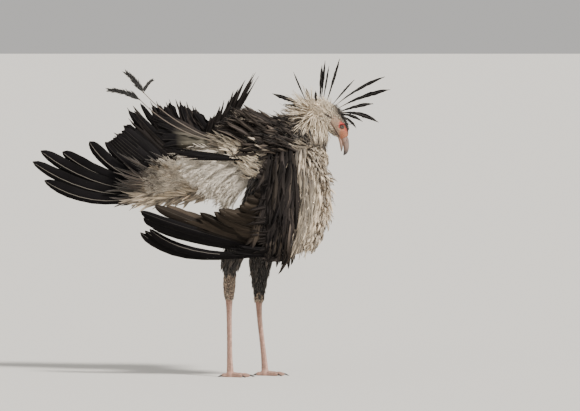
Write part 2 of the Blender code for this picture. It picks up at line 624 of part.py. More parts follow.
left_hand_form = Form(
    [(-0.064, 0.143, 0.7250, 0.009, 0.028), (-0.110, 0.145, 0.7120, 0.008, 0.025),
     (-0.160, 0.146, 0.7030, 0.006, 0.021), (-0.205, 0.147, 0.6970, 0.004, 0.012),
     (-0.228, 0.147, 0.6940, 0.002, 0.005)],
    LEFT, 8, 10)
left_hand = left_hand_form.solid("wing_left_hand")
cut_by(left_hand, [left_arm_cut])
left_primaries = fan(
    10, ((-0.216, 0.147, 0.694), (-0.160, 0.146, 0.703), (-0.092, 0.142, 0.718)),
    ((-0.4515, 0.160, 0.6425), (-0.4585, 0.160, 0.682), (-0.440, 0.159, 0.720), (-0.3955, 0.158, 0.755),
     (-0.3175, 0.155, 0.7835), (-0.2775, 0.153, 0.803), (-0.240, 0.151, 0.820), (-0.205, 0.149, 0.832)),
    ((-0.633, 0.186, 0.737), (-0.678, 0.188, 0.809), (-0.647, 0.188, 0.851), (-0.564, 0.183, 0.847),
     (-0.460, 0.175, 0.887), (-0.400, 0.168, 0.885), (-0.378, 0.163, 0.892), (-0.362, 0.159, 0.902),
     (-0.348, 0.156, 0.918), (-0.326, 0.153, 0.935)),
    LEFT, (0.036, 0.048), FEATHER_THICKNESS, FLIGHT, 8.0)
under_coverts = fan(
    8, ((-0.205, 0.142, 0.690), (-0.150, 0.140, 0.698), (-0.096, 0.138, 0.709)),
    ((-0.285, 0.138, 0.668), (-0.260, 0.136, 0.712), (-0.168, 0.135, 0.758)),
    ((-0.345, 0.148, 0.668), (-0.345, 0.144, 0.735), (-0.262, 0.141, 0.800)),
    LEFT, (0.036, 0.046), FEATHER_THICKNESS, COVERT, 8.0, 0.06)
hand_edge = fan(
    5, ((-0.212, 0.142, 0.690), (-0.150, 0.140, 0.690), (-0.086, 0.137, 0.703)),
    ((-0.260, 0.130, 0.664), (-0.190, 0.126, 0.660), (-0.120, 0.121, 0.672)),
    ((-0.330, 0.126, 0.645), (-0.240, 0.120, 0.634), (-0.160, 0.118, 0.640)),
    LEFT, (0.028, 0.034), FEATHER_THICKNESS, LOCK, 6.0, 0.10)
combined(left_hand, left_primaries, "UNION")
combined(left_hand, under_coverts, "UNION")
combined(left_hand, hand_edge, "UNION")
finished(left_hand, "wing_left_hand", BLACK_PLUMAGE)

# Tail: cocked up behind, with two long middle feathers worn down to their shafts.
tail_form = Form(
    [(0.125, 0.0, 0.855, 0.026, 0.024), (0.085, 0.0, 0.868, 0.024, 0.020),
     (0.045, 0.0, 0.882, 0.020, 0.015), (0.006, 0.0, 0.893, 0.010, 0.008)],
    LEFT, 6, 12)
tail = tail_form.solid("tail")
tail_feathers = fan(
    10, ((0.036, -0.0130, 0.879), (0.030, 0.0130, 0.893)),
    ((-0.070, -0.024, 0.886), (-0.085, 0.020, 0.944)),
    ((-0.156, -0.040, 0.868), (-0.186, -0.024, 0.914), (-0.204, -0.004, 0.948), (-0.222, 0.014, 0.980),
     (-0.200, 0.028, 1.000)),
    LEFT, (0.038, 0.042), FEATHER_THICKNESS, FLIGHT, 4.0, 0.03)
LONG_SHAFTS = (((0.036, -0.014, 0.886), (-0.150, -0.034, 0.930), (-0.266, -0.030, 1.056)),
               ((0.036, -0.010, 0.893), (-0.140, -0.022, 0.955), (-0.252, -0.014, 1.083)))
SHAFT = ((0.0, 1.0), (0.5, 0.8), (1.0, 0.6))
SHAFT_WIDTH = 0.0042
SHAFT_THICKNESS = 0.0036
# The tufts left at the shafts' ends: root, bend, tip and width of each.
TAIL_TUFTS = (((-0.257, -0.030, 1.047), (-0.300, -0.032, 1.080), (-0.382, -0.036, 1.087), 0.024),
              ((-0.246, -0.014, 1.074), (-0.272, -0.012, 1.116), (-0.312, -0.010, 1.155), 0.024),
              ((-0.247, -0.014, 1.077), (-0.236, -0.017, 1.110), (-0.213, -0.020, 1.125), 0.012))
long_feathers = [vane(root, bend, tip, LEFT, SHAFT_WIDTH, SHAFT_THICKNESS, SHAFT)
                 for root, bend, tip in LONG_SHAFTS]
long_feathers += [vane(root, bend, tip, LEFT, width, STRONG_THICKNESS, TUFT)
                  for root, bend, tip, width in TAIL_TUFTS]
combined(tail, tail_feathers, "UNION")
combined(tail, long_feathers, "UNION")
cut_by(tail, [torso_cut])
finished(tail, "tail", GREY_PLUMAGE)

# Legs: a feathered thigh, a bare scaly shank, and a short-toed foot.
THIGH_STATIONS = {
    "right": ((0.236, -0.050, 0.745, 0.042, 0.070), (0.196, -0.058, 0.655, 0.042, 0.062),
              (0.148, -0.061, 0.560, 0.036, 0.048), (0.103, -0.061, 0.480, 0.027, 0.036),
              (0.085, -0.060, 0.432, 0.022, 0.029),
              (RIGHT_LEG_X, RIGHT_LEG_Y, RIGHT_TROUSER_END, 0.015, 0.018)),
    "left": ((0.248, 0.050, 0.740, 0.042, 0.070), (0.232, 0.048, 0.640, 0.042, 0.060),
             (0.212, 0.040, 0.540, 0.036, 0.046), (0.198, 0.031, 0.450, 0.027, 0.038),
             (0.193, 0.025, 0.380, 0.019, 0.026),
             (0.191, 0.021, LEFT_TROUSER_END, 0.012, 0.014)),
}
SHANK_STATIONS = {
    "right": ((RIGHT_LEG_X, RIGHT_LEG_Y, RIGHT_TROUSER_END + JOINT_LAP, 0.0130, 0.0150),
              (0.079, RIGHT_LEG_Y, 0.372, 0.0140, 0.0180), (0.078, RIGHT_LEG_Y, 0.340, 0.0130, 0.0180),
              (0.078, RIGHT_LEG_Y, 0.300, 0.0100, 0.0130), (0.078, RIGHT_LEG_Y, 0.240, 0.0080, 0.0090),
              (0.079, RIGHT_LEG_Y, 0.150, 0.0076, 0.0085), (0.080, RIGHT_LEG_Y, 0.070, 0.0082, 0.0092),
              (RIGHT_LEG_X, RIGHT_LEG_Y, SHANK_END, 0.0100, 0.0115)),
    "left": ((0.191, 0.021, LEFT_TROUSER_END + JOINT_LAP, 0.0105, 0.0120),
             (0.190, LEFT_LEG_Y, 0.300, 0.0120, 0.0140), (0.190, LEFT_LEG_Y, 0.275, 0.0100, 0.0110),
             (0.193, LEFT_LEG_Y, 0.215, 0.0078, 0.0085), (0.200, LEFT_LEG_Y, 0.150, 0.0074, 0.0082),
             (0.208, LEFT_LEG_Y, 0.080, 0.0080, 0.0090),
             (LEFT_LEG_X, LEFT_LEG_Y, SHANK_END, 0.0100, 0.0115)),
}
# A toe's heading from straight ahead, and its length, thickness and claw length.
TOES = (("middle", 0.0, 0.068, 0.0090, 0.024), ("inner", 32.0, 0.052, 0.0085, 0.024),
        ("outer", -34.0, 0.050, 0.0085, 0.020), ("hind", 180.0, 0.026, 0.0080, 0.022))
TOE_PADS = ((0.02, 0.0088, 1.10), (0.30, 0.0078, 1.00), (0.52, 0.0062, 0.86), (0.72, 0.0066, 0.94),
            (0.90, 0.0052, 0.72), (1.00, 0.0042, 0.42))
CLAW_CURVE = ((0.00, 0.0054, 0.0036), (0.28, 0.0064, 0.0033), (0.58, 0.0042, 0.0026),
              (0.82, 0.0012, 0.0017), (1.00, 0.0002, 0.0008))
FLOOR_BLOCK = 1.0


def floor_block():
    """All that is below the floor, for cutting the soles flat."""
    corners = [(x, y, z) for x in (-FLOOR_BLOCK, FLOOR_BLOCK) for y in (-FLOOR_BLOCK, FLOOR_BLOCK)
               for z in (-FLOOR_BLOCK, 0.0)]
    return mesh_object("under the floor", corners, [(0, 1, 3, 2), (4, 6, 7, 5), (0, 4, 5, 1), (2, 3, 7, 6),
                                                    (0, 2, 6, 4), (1, 5, 7, 3)])


for side_name, leg_x, leg_y, turn in (("right", RIGHT_LEG_X, RIGHT_LEG_Y, 1.0),
                                      ("left", LEFT_LEG_X, LEFT_LEG_Y, -1.0)):
    thigh = Form(THIGH_STATIONS[side_name], LEFT, 9, 12).solid("thigh_" + side_name)
    cut_by(thigh, [torso_cut])
    finished(thigh, "thigh_" + side_name, BLACK_PLUMAGE)
    shank = Form(SHANK_STATIONS[side_name], LEFT, 12, 10).solid("shank_" + side_name)
    combined(shank, [grown(thigh)], "DIFFERENCE")
    finished(shank, "shank_" + side_name, LEG_SKIN)
    foot = Form([(leg_x - 0.001, leg_y, SHANK_END + JOINT_LAP, 0.0090, 0.0100),
                 (leg_x - 0.001, leg_y, SHANK_END - 0.001, 0.0110, 0.0125),
                 (leg_x, leg_y, 0.016, 0.0135, 0.0150), (leg_x + 0.002, leg_y, 0.006, 0.0150, 0.0170),
                 (leg_x + 0.003, leg_y, -0.004, 0.0140, 0.0160)], LEFT, 5, 10).solid("foot")
    toes = []
    claws = []
    for toe_name, heading, length, thick, claw_length in TOES:
        angle = math.radians(heading) * turn
        ahead = Vector((math.cos(angle), math.sin(angle), 0.0))
        across = Vector((-ahead.y, ahead.x, 0.0))
        root = Vector((leg_x, leg_y, 0.0))
        toe_rows = []
        for share, height, half in TOE_PADS:
            spot = root + ahead * (0.006 + length * share)
            toe_rows.append((spot.x, spot.y, height, thick * half, thick * half * 0.95))
        toes.append(Form(toe_rows, across, 6, 6).solid("toe"))
        claw_rows = []
        for share, height, half in CLAW_CURVE:
            spot = root + ahead * (length + claw_length * share)
            claw_rows.append((spot.x, spot.y, height, half * 0.8, half))
        claws.append((toe_name, Form(claw_rows, across, 5, 5).solid("claw")))
    combined(foot, toes, "UNION")
    combined(foot, [floor_block()], "DIFFERENCE")
    combined(foot, [grown(shank)], "DIFFERENCE")
    for toe_name, claw in claws:
        combined(claw, [floor_block()], "DIFFERENCE")
        combined(claw, [grown(foot)], "DIFFERENCE")
        finished(claw, "claw_" + side_name + "_" + toe_name, HORN)
    finished(foot, "foot_" + side_name, LEG_SKIN)

for cutter in (torso_cut, head_cut, right_arm_cut, left_arm_cut):
    bpy.data.objects.remove(cutter, do_unlink=True)
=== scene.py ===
"""A life-size secretary bird, ruffled: its skin, plumage, bill, legs and light.

Metres, +Z up, beak towards +X. The right side of the bird faces -Y and the camera.
"""

import math

import bmesh
import bpy
import numpy as np
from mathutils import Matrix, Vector, kdtree


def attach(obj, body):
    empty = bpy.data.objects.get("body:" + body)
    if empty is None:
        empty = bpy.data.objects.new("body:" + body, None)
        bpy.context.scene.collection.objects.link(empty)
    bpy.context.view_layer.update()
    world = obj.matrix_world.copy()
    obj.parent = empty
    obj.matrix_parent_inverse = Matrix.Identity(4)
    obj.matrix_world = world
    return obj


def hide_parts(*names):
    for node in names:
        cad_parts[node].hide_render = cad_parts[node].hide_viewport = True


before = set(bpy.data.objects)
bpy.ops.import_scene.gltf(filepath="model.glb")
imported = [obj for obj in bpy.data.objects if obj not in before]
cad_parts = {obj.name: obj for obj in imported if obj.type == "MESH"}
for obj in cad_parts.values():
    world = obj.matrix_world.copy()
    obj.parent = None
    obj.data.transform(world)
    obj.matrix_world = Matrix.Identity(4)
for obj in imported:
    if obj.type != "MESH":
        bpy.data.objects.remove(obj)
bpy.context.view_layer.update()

# The skin: one closed surface under all the feathers, from the rump to the bill, out
# along both wings and down to the trousers' ends, with the plumage's markings. It is
# melted from oval forms, whose rows give a centre, half a width and half a depth.
chance = np.random.default_rng(11)
SKIN_VOXEL = 0.0045
COAT_DEPTH = 0.004
FACE_DEPTH = 0.0015
ARM_DEPTH = 0.003
HAND_DEPTH = 0.001
SKIN_SMOOTHING = 6
TRUNK = ((0.080, 0.0, 0.860, 0.020, 0.018), (0.092, 0.0, 0.856, 0.034, 0.032),
         (0.122, 0.0, 0.843, 0.054, 0.056), (0.175, 0.0, 0.832, 0.080, 0.096),
         (0.232, 0.0, 0.824, 0.098, 0.130), (0.289, 0.0, 0.817, 0.104, 0.146),
         (0.346, 0.0, 0.814, 0.100, 0.134), (0.391, 0.0, 0.810, 0.084, 0.106),
         (0.424, 0.0, 0.804, 0.056, 0.070), (0.440, 0.0, 0.800, 0.022, 0.026))
HEAD = ((0.372, 0.0, 1.020, 0.014, 0.016), (0.386, 0.0, 1.016, 0.028, 0.032),
        (0.408, 0.0, 1.007, 0.038, 0.043), (0.436, 0.0, 0.994, 0.040, 0.047),
        (0.464, 0.0, 0.976, 0.037, 0.044), (0.487, 0.0, 0.953, 0.031, 0.036),
        (0.503, 0.0, 0.928, 0.024, 0.028), (0.513, 0.0, 0.906, 0.0138, 0.0165))
NECK = ((0.374, 0.0, 0.850, 0.062, 0.066), (0.384, 0.0, 0.895, 0.058, 0.062),
        (0.390, 0.0, 0.945, 0.052, 0.060), (0.400, 0.0, 0.985, 0.044, 0.050),
        (0.410, 0.0, 1.005, 0.026, 0.030))
TAIL = ((0.125, 0.0, 0.855, 0.026, 0.024), (0.085, 0.0, 0.868, 0.024, 0.020),
        (0.045, 0.0, 0.882, 0.020, 0.015), (0.006, 0.0, 0.893, 0.010, 0.008))
RIGHT_ARM = ((0.345, -0.080, 0.868, 0.020, 0.030), (0.352, -0.104, 0.826, 0.023, 0.058),
             (0.360, -0.126, 0.766, 0.018, 0.076), (0.366, -0.142, 0.700, 0.014, 0.083),
             (0.362, -0.154, 0.635, 0.012, 0.084), (0.350, -0.163, 0.570, 0.010, 0.070),
             (0.342, -0.169, 0.520, 0.009, 0.050), (0.340, -0.172, 0.492, 0.008, 0.030))
RIGHT_HAND = ((0.342, -0.1715, 0.518, 0.008, 0.022), (0.326, -0.1720, 0.488, 0.009, 0.022),
              (0.292, -0.1715, 0.472, 0.008, 0.018), (0.250, -0.1690, 0.474, 0.006, 0.014),
              (0.206, -0.1660, 0.487, 0.004, 0.006))
LEFT_ARM = ((0.330, 0.078, 0.850, 0.024, 0.040), (0.265, 0.104, 0.826, 0.024, 0.048),
            (0.190, 0.120, 0.800, 0.020, 0.050), (0.110, 0.130, 0.775, 0.017, 0.050),
            (0.030, 0.137, 0.752, 0.014, 0.046), (-0.045, 0.142, 0.730, 0.011, 0.036),
            (-0.068, 0.143, 0.724, 0.010, 0.032))
LEFT_HAND = ((-0.064, 0.143, 0.7250, 0.009, 0.028), (-0.110, 0.145, 0.7120, 0.008, 0.025),
             (-0.160, 0.146, 0.7030, 0.006, 0.021), (-0.205, 0.147, 0.6970, 0.005, 0.012),
             (-0.228, 0.147, 0.6940, 0.004, 0.005))
RIGHT_THIGH = ((0.236, -0.050, 0.745, 0.042, 0.070), (0.196, -0.058, 0.655, 0.042, 0.062),
               (0.148, -0.061, 0.560, 0.036, 0.048), (0.103, -0.061, 0.480, 0.027, 0.036),
               (0.085, -0.060, 0.432, 0.022, 0.029), (0.082, -0.060, 0.402, 0.016, 0.019))
LEFT_THIGH = ((0.248, 0.050, 0.740, 0.042, 0.070), (0.232, 0.048, 0.640, 0.042, 0.060),
              (0.212, 0.040, 0.540, 0.036, 0.046), (0.198, 0.031, 0.450, 0.027, 0.038),
              (0.193, 0.025, 0.380, 0.019, 0.026), (0.191, 0.021, 0.318, 0.013, 0.015))
LEFT = (0.0, 1.0, 0.0)
SMALLEST_HALF = 0.0015
SHARE_STEP = 0.01
TURN_STEP = 2.0


def unit(vectors):
    """The same ways, each one metre long."""
    return vectors / np.maximum(np.linalg.norm(vectors, axis=-1, keepdims=True), 1e-9)


def along_curve(rows, share):
    """The rows at the given shares, from 0 to 1, of the smooth curve through the rows."""
    rows = np.asarray(rows, dtype=float)
    last = len(rows) - 1
    place = np.clip(np.asarray(share, dtype=float), 0.0, 1.0) * last
    index = np.minimum(place.astype(int), last - 1)
    step = (place - index)[..., None]
    before = rows[np.maximum(index - 1, 0)]
    start = rows[index]
    end = rows[index + 1]
    after = rows[np.minimum(index + 2, last)]
    return 0.5 * (2 * start + (end - before) * step + (2 * before - 5 * start + 4 * end - after) * step ** 2
                  + (3 * start - before - 3 * end + after) * step ** 3)


def form_point(form, share, degrees, inset=0.0, left=LEFT):
    """Points on a form: 0 degrees is its left side, 90 its top or back."""
    share = np.asarray(share, dtype=float)
    row = along_curve(form, share)
    way = unit(along_curve(form, share + SHARE_STEP)[..., :3]
               - along_curve(form, share - SHARE_STEP)[..., :3])
    side = unit(left - way * np.sum(way * left, axis=-1, keepdims=True))
    across = np.cross(way, side)
    angle = np.radians(degrees)[..., None]
    half_side = np.maximum(row[..., 3:4] - inset, SMALLEST_HALF)
    half_across = np.maximum(row[..., 4:5] - inset, SMALLEST_HALF)
    return row[..., :3] + side * (np.cos(angle) * half_side) + across * (np.sin(angle) * half_across)


def form_surface(form, share, degrees, left=LEFT):
    """Points on a form, which way is out there, and which way the form runs."""
    share, degrees = np.broadcast_arrays(np.asarray(share, dtype=float), np.asarray(degrees, dtype=float))

    def at(one_share, one_turn):
        return form_point(form, one_share, one_turn, 0.0, left)

    point = at(share, degrees)
    low = np.clip(share - SHARE_STEP, 0.0, 1.0 - 2 * SHARE_STEP)
    along = unit(at(low + 2 * SHARE_STEP, degrees) - at(low, degrees))
    around = unit(at(share, degrees + TURN_STEP) - at(share, degrees - TURN_STEP))
    outward = unit(np.cross(around, along))
    middle = along_curve(form, share)[..., :3]
    flip = np.sign(np.sum(outward * (point - middle), axis=-1, keepdims=True))
    return point, outward * np.where(flip == 0.0, 1.0, flip), along


def new_object(name, mesh):
    """Put a mesh in the scene under a name."""
    made = bpy.data.objects.new(name, mesh)
    bpy.context.scene.collection.objects.link(made)
    return made


def form_mesh(form, rings, segments, inset, left=LEFT):
    """A closed mesh of a form, its ends filled."""
    share = np.repeat(np.linspace(0.0, 1.0, rings), segments)
    degrees = np.tile(np.arange(segments) * 360.0 / segments, rings)
    points = form_point(form, share, degrees, inset, left)
    work = bmesh.new()
    corners = [work.verts.new(point) for point in points]
    for ring in range(rings - 1):
        for number in range(segments):
            after = (number + 1) % segments
            low = ring * segments
            work.faces.new((corners[low + number], corners[low + after],
                            corners[low + segments + after], corners[low + segments + number]))
    work.faces.new(corners[:segments])
    work.faces.new(corners[-segments:])
    bmesh.ops.recalc_face_normals(work, faces=work.faces)
    return work


def join_forms(name, forms, voxel, rounds):
    """Several forms melted into one closed, smooth surface."""
    whole = bmesh.new()
    for given in forms:
        piece = form_mesh(*given)
        mesh = bpy.data.meshes.new("form")
        piece.to_mesh(mesh)
        piece.free()
        whole.from_mesh(mesh)
        bpy.data.meshes.remove(mesh)
    mesh = bpy.data.meshes.new(name)
    whole.to_mesh(mesh)
    whole.free()
    made = new_object(name, mesh)
    remesh = made.modifiers.new("melt", "REMESH")
    remesh.mode = "VOXEL"
    remesh.voxel_size = voxel
    smooth = made.modifiers.new("smooth", "SMOOTH")
    smooth.iterations = rounds
    smooth.factor = 0.5
    graph = bpy.context.evaluated_depsgraph_get()
    finished = bpy.data.meshes.new_from_object(made.evaluated_get(graph))
    made.modifiers.clear()
    made.data = finished
    finished.name = name
    finished.shade_smooth()
    return made


def plain_material(name, colour, roughness):
    """A new material with its nodes, its links and its shader."""
    made = bpy.data.materials.new(name)
    made.use_nodes = True
    shader = made.node_tree.nodes["Principled BSDF"]
    shader.inputs["Base Color"].default_value = (*colour, 1.0)
    shader.inputs["Roughness"].default_value = roughness
    return made, made.node_tree.nodes, made.node_tree.links, shader


def noise(tree, place, scale, detail=2.0):
    """A cloudy pattern at a place, from 0 to 1."""
    texture = tree.nodes.new("ShaderNodeTexNoise")
    texture.inputs["Scale"].default_value = scale
    texture.inputs["Detail"].default_value = detail
    tree.links.new(place, texture.inputs["Vector"])
    return texture.outputs["Fac"]


def uneven_group():
    """Paint made uneven: a colour that is darker and lighter where a pattern says."""
    group = bpy.data.node_groups.new("uneven paint", "ShaderNodeTree")
    group.interface.new_socket("Paint", in_out="INPUT", socket_type="NodeSocketColor")
    for name in ("Pattern", "Darkest", "Lightest"):
        group.interface.new_socket(name, in_out="INPUT", socket_type="NodeSocketFloat")
    group.interface.new_socket("Colour", in_out="OUTPUT", socket_type="NodeSocketColor")
    given = group.nodes.new("NodeGroupInput")
    result = group.nodes.new("NodeGroupOutput")
    strength = group.nodes.new("ShaderNodeMapRange")
    shaded = group.nodes.new("ShaderNodeVectorMath")
    shaded.operation = "SCALE"
    group.links.new(given.outputs["Pattern"], strength.inputs["Value"])
    group.links.new(given.outputs["Darkest"], strength.inputs["To Min"])
    group.links.new(given.outputs["Lightest"], strength.inputs["To Max"])
    group.links.new(given.outputs["Paint"], shaded.inputs[0])
    group.links.new(strength.outputs["Result"], shaded.inputs["Scale"])
    group.links.new(shaded.outputs["Vector"], result.inputs["Colour"])
    return group


UNEVEN = uneven_group()


def painted(made, layer, pattern, darkest, lightest, grain, grain_depth):
    """Colour a material from a mesh's painted layer, uneven by a pattern, and raise its grain."""
    nodes, links = made.node_tree.nodes, made.node_tree.links
    shader = nodes["Principled BSDF"]
    paint = nodes.new("ShaderNodeVertexColor")
    paint.layer_name = layer
    uneven = nodes.new("ShaderNodeGroup")
    uneven.node_tree = UNEVEN
    uneven.inputs["Darkest"].default_value = darkest
    uneven.inputs["Lightest"].default_value = lightest
    bump = nodes.new("ShaderNodeBump")
    bump.inputs["Distance"].default_value = grain_depth
    links.new(paint.outputs["Color"], uneven.inputs["Paint"])
    links.new(pattern, uneven.inputs["Pattern"])
    links.new(uneven.outputs["Colour"], shader.inputs["Base Color"])
    links.new(grain, bump.inputs["Height"])
    links.new(bump.outputs["Normal"], shader.inputs["Normal"])


def skin_material():
    """Skin under the down: the plumage's own markings in soft patches, with a pimpled grain."""
    made, nodes, links, shader = plain_material("skin under the plumage", (0.2, 0.18, 0.17), 0.8)
    place = nodes.new("ShaderNodeTexCoord").outputs["Object"]
    patches = noise(made.node_tree, place, 60.0, 3.0)
    painted(made, "Marking", patches, 0.35, 1.15, noise(made.node_tree, place, 420.0), 0.0006)
    return made


def dressed(piece, look):
    """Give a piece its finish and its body."""
    piece.data.materials.append(look)
    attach(piece, "root")
    return piece


skin = join_forms("skin", (
    (TRUNK, 40, 48, COAT_DEPTH), (NECK, 20, 36, COAT_DEPTH), (HEAD, 30, 40, FACE_DEPTH),
    (TAIL, 12, 24, ARM_DEPTH), (RIGHT_ARM, 24, 24, ARM_DEPTH), (RIGHT_HAND, 14, 16, HAND_DEPTH),
    (LEFT_ARM, 24, 24, ARM_DEPTH), (LEFT_HAND, 14, 16, HAND_DEPTH), (RIGHT_THIGH, 22, 28, COAT_DEPTH),
    (LEFT_THIGH, 22, 28, COAT_DEPTH)), SKIN_VOXEL, SKIN_SMOOTHING)
dressed(skin, skin_material())
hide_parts("torso", "neck", "head", "tail", "wing_right_arm", "wing_right_hand", "wing_left_arm",
            "wing_left_hand", "thigh_right", "thigh_left")

# The trunk's feathers: narrow pointed feathers in rows, buff on the breast, grey below,
# black-brown over the back and cream on the rump. Each is a thin curved vane that grows
# from the trunk's form and lies backwards, lifted because the bird ruffles.

# An outline's rows are places along a blade and the share of its width there. A
# section's rows are places across it and the share of its thickness there.
CONTOUR = np.array(((0.0, 0.30), (0.22, 0.80), (0.48, 1.0), (0.72, 0.94), (0.90, 0.60), (1.0, 0.12)))
RIDGE = np.array(((-1.0, 0.0), (0.0, 1.0), (1.0, 0.0)))
BLACK = (0.0060, 0.0052, 0.0058)
SOOT = (0.022, 0.018, 0.0165)
BROWN = (0.085, 0.068, 0.056)
GREY = (0.28, 0.235, 0.19)
PALE = (0.60, 0.495, 0.375)
CREAM = (0.90, 0.775, 0.60)
UMBER = (0.052, 0.040, 0.030)
TAWNY = (0.51, 0.415, 0.30)
DRAB = (0.19, 0.155, 0.115)
PATCH = 0.003
TILES_ACROSS = 4
TILE_MARGIN = 0.006
PLACE_JITTER = 0.25
TURN_JITTER = 2.0
rooted = []


def blades(name, root, bend, tip, face, width, outline, section, colours, place, thick=0.0008, twist=0.0,
           cup=0.0, ragged=0.0, skew=0.0, stops=None):
    """Many thin closed blades in one mesh, each on a bent path from root to tip.

    colours holds two or more colours from root to tip, at the shares that stops gives; place is
    the root's spot on the skin's unwrap.
    """
    count = len(root)
    rows = len(outline)
    ring = len(section)
    share = outline[:, 0][None, :, None]
    start, middle, end = root[:, None], bend[:, None], tip[:, None]
    point = start * (1 - share) ** 2 + middle * 2 * share * (1 - share) + end * share ** 2
    way = unit((middle - start) * (1 - share) + (end - middle) * share)
    across = unit(np.cross(way, np.broadcast_to(face, root.shape)[:, None]))
    normal = np.cross(across, way)
    turn = np.radians(np.broadcast_to(twist, (count,)))[:, None, None]
    across = across * np.cos(turn) + normal * np.sin(turn)
    normal = np.cross(across, way)
    half = 0.5 * np.broadcast_to(width, (count,))[:, None] * outline[:, 1]
    u = section[:, 0]
    worn = 1.0 - ragged * chance.random((count, rows, ring)) * np.abs(u)
    offset = half[:, :, None] * u * np.where(u > 0.0, 1.0 + skew, 1.0 - skew) * worn
    lift = section[:, 1] * thick + cup * (1 - u ** 2) * half[:, :, None]
    vertices = (point[:, :, None] + across[:, :, None] * offset[..., None]
                + normal[:, :, None] * lift[..., None]).reshape(-1, 3)
    triangles = []
    for row in range(rows - 1):
        low, high = row * ring, (row + 1) * ring
        for number in range(ring):
            after = (number + 1) % ring
            triangles += [(low + number, high + after, high + number),
                          (low + number, low + after, high + after)]
    last = (rows - 1) * ring
    for number in range(1, ring - 1):
        triangles += [(0, number + 1, number), (last, last + number, last + number + 1)]
    triangles = np.array(triangles)
    corners = (triangles[None] + (np.arange(count) * rows * ring)[:, None, None]).reshape(-1)
    mesh = bpy.data.meshes.new(name)
    mesh.vertices.add(len(vertices))
    mesh.vertices.foreach_set("co", vertices.astype(np.float32).reshape(-1))
    mesh.loops.add(len(corners))
    mesh.loops.foreach_set("vertex_index", corners.astype(np.int32))
    mesh.polygons.add(len(corners) // 3)
    mesh.polygons.foreach_set("loop_start", np.arange(0, len(corners), 3, dtype=np.int32))
    mesh.update(calc_edges=True)
    grid = np.empty((count, rows, ring, 2))
    grid[..., 0] = 0.5 + 0.5 * u
    grid[..., 1] = outline[:, 0][None, :, None]
    vane = mesh.uv_layers.new(name="Vane")
    vane.uv.foreach_set("vector", grid.reshape(-1, 2)[corners].astype(np.float32).reshape(-1))
    spot = (place[:, None, None] + (grid - 0.5) * PATCH).reshape(-1, 2)
    bake = mesh.uv_layers.new(name="OFBake")
    bake.uv.foreach_set("vector", spot[corners].astype(np.float32).reshape(-1))
    bands = np.array([np.broadcast_to(colour, (count, 3)) for colour in colours])
    stops = np.linspace(0.0, 1.0, len(bands)) if stops is None else stops
    band = np.interp(outline[:, 0], stops, np.arange(len(bands)))
    lower = np.minimum(band.astype(int), len(bands) - 2)
    part = (band - lower)[:, None, None]
    shade = np.ones((count, rows, ring, 4))
    shade[..., :3] = (bands[lower] * (1 - part) + bands[lower + 1] * part).transpose(1, 0, 2)[:, :, None]
    layer = mesh.color_attributes.new("Plume", "FLOAT_COLOR", "POINT")
    layer.data.foreach_set("color", shade.astype(np.float32).reshape(-1))
    rooted.append((root, bands[len(bands) // 2]))
    mesh.shade_smooth()
    return new_object(name, mesh)


def spread_places(form, shares, degrees, spacing):
    """Staggered places over part of a form, about one for each step of the spacing."""
    found = []
    path = along_curve(form, np.linspace(shares[0], shares[1], 30))
    length = np.sum(np.linalg.norm(np.diff(path[:, :3], axis=0), axis=1))
    rows = max(int(length / spacing), 2)
    reach, sweep = shares[1] - shares[0], degrees[1] - degrees[0]
    for row in range(rows):
        share = shares[0] + reach * (row + 0.5) / rows
        size = along_curve(form, share)
        girth = math.pi * (size[3] + size[4]) * sweep / 360.0
        count = max(int(girth / spacing), 1)
        stagger = 0.25 + 0.5 * (row % 2)
        found += [(share, degrees[0] + sweep * (number + stagger) / count) for number in range(count)]
    share, angle = np.array(found).T
    share = share + chance.normal(0.0, PLACE_JITTER / rows * reach, len(found))
    return np.clip(share, 0.0, 1.0), angle + chance.normal(0.0, TURN_JITTER, len(found))


def unwrap(tile, share, degrees):
    """The place on the skin's unwrap: each form has a tile, cut along its left side."""
    corner = np.array((tile % TILES_ACROSS, tile // TILES_ACROSS)) / TILES_ACROSS + TILE_MARGIN
    local = np.stack((np.asarray(share), (np.asarray(degrees) % 360.0) / 360.0), axis=-1)
    return corner + local * (1.0 / TILES_ACROSS - 2 * TILE_MARGIN)


def coat(name, look, form, tile, share, degrees, length, width, lift, lean, colours, outline=CONTOUR,
         sink=0.006, droop=0.0, stray=0.12, heading=-1.0, slot="plumage", **more):
    """Feathers that grow from a form against its path, with a lean around it and a lift off it."""
    count = len(share)
    point, outward, along = form_surface(form, share, degrees)
    around = np.cross(along, outward)
    way = unit(along * heading + around * np.reshape(lean, (-1, 1)) + chance.normal(0.0, stray, (count, 3))
               - np.array((0.0, 0.0, 1.0)) * np.reshape(droop, (-1, 1)))
    way = unit(way - outward * np.sum(way * outward, axis=1, keepdims=True) * 0.85)
    length = (np.broadcast_to(length, (count,)) * chance.uniform(0.8, 1.2, count))[:, None]
    lift = (np.broadcast_to(lift, (count,)) * chance.uniform(0.5, 1.5, count))[:, None]
    bend = point + way * length * 0.45 + outward * (lift * 0.6 + 0.003)
    tip = point + way * length + outward * lift
    feathers = blades(name, point - outward * sink, bend, tip, outward, width, outline, RIDGE, colours,
                      unwrap(tile, share, degrees), **more)
    return dressed(feathers, look)


def varied(colour, count, spread):
    """A colour for each feather, a little lighter or darker than the one given."""
    return np.asarray(colour) * np.exp(chance.normal(0.0, spread, (count, 1)))


def blend(first, second, mask):
    """A mix of two sets of colours by a mask from 0 to 1."""
    mask = np.clip(mask, 0.0, 1.0)[:, None]
    return np.asarray(first) * (1 - mask) + np.asarray(second) * mask


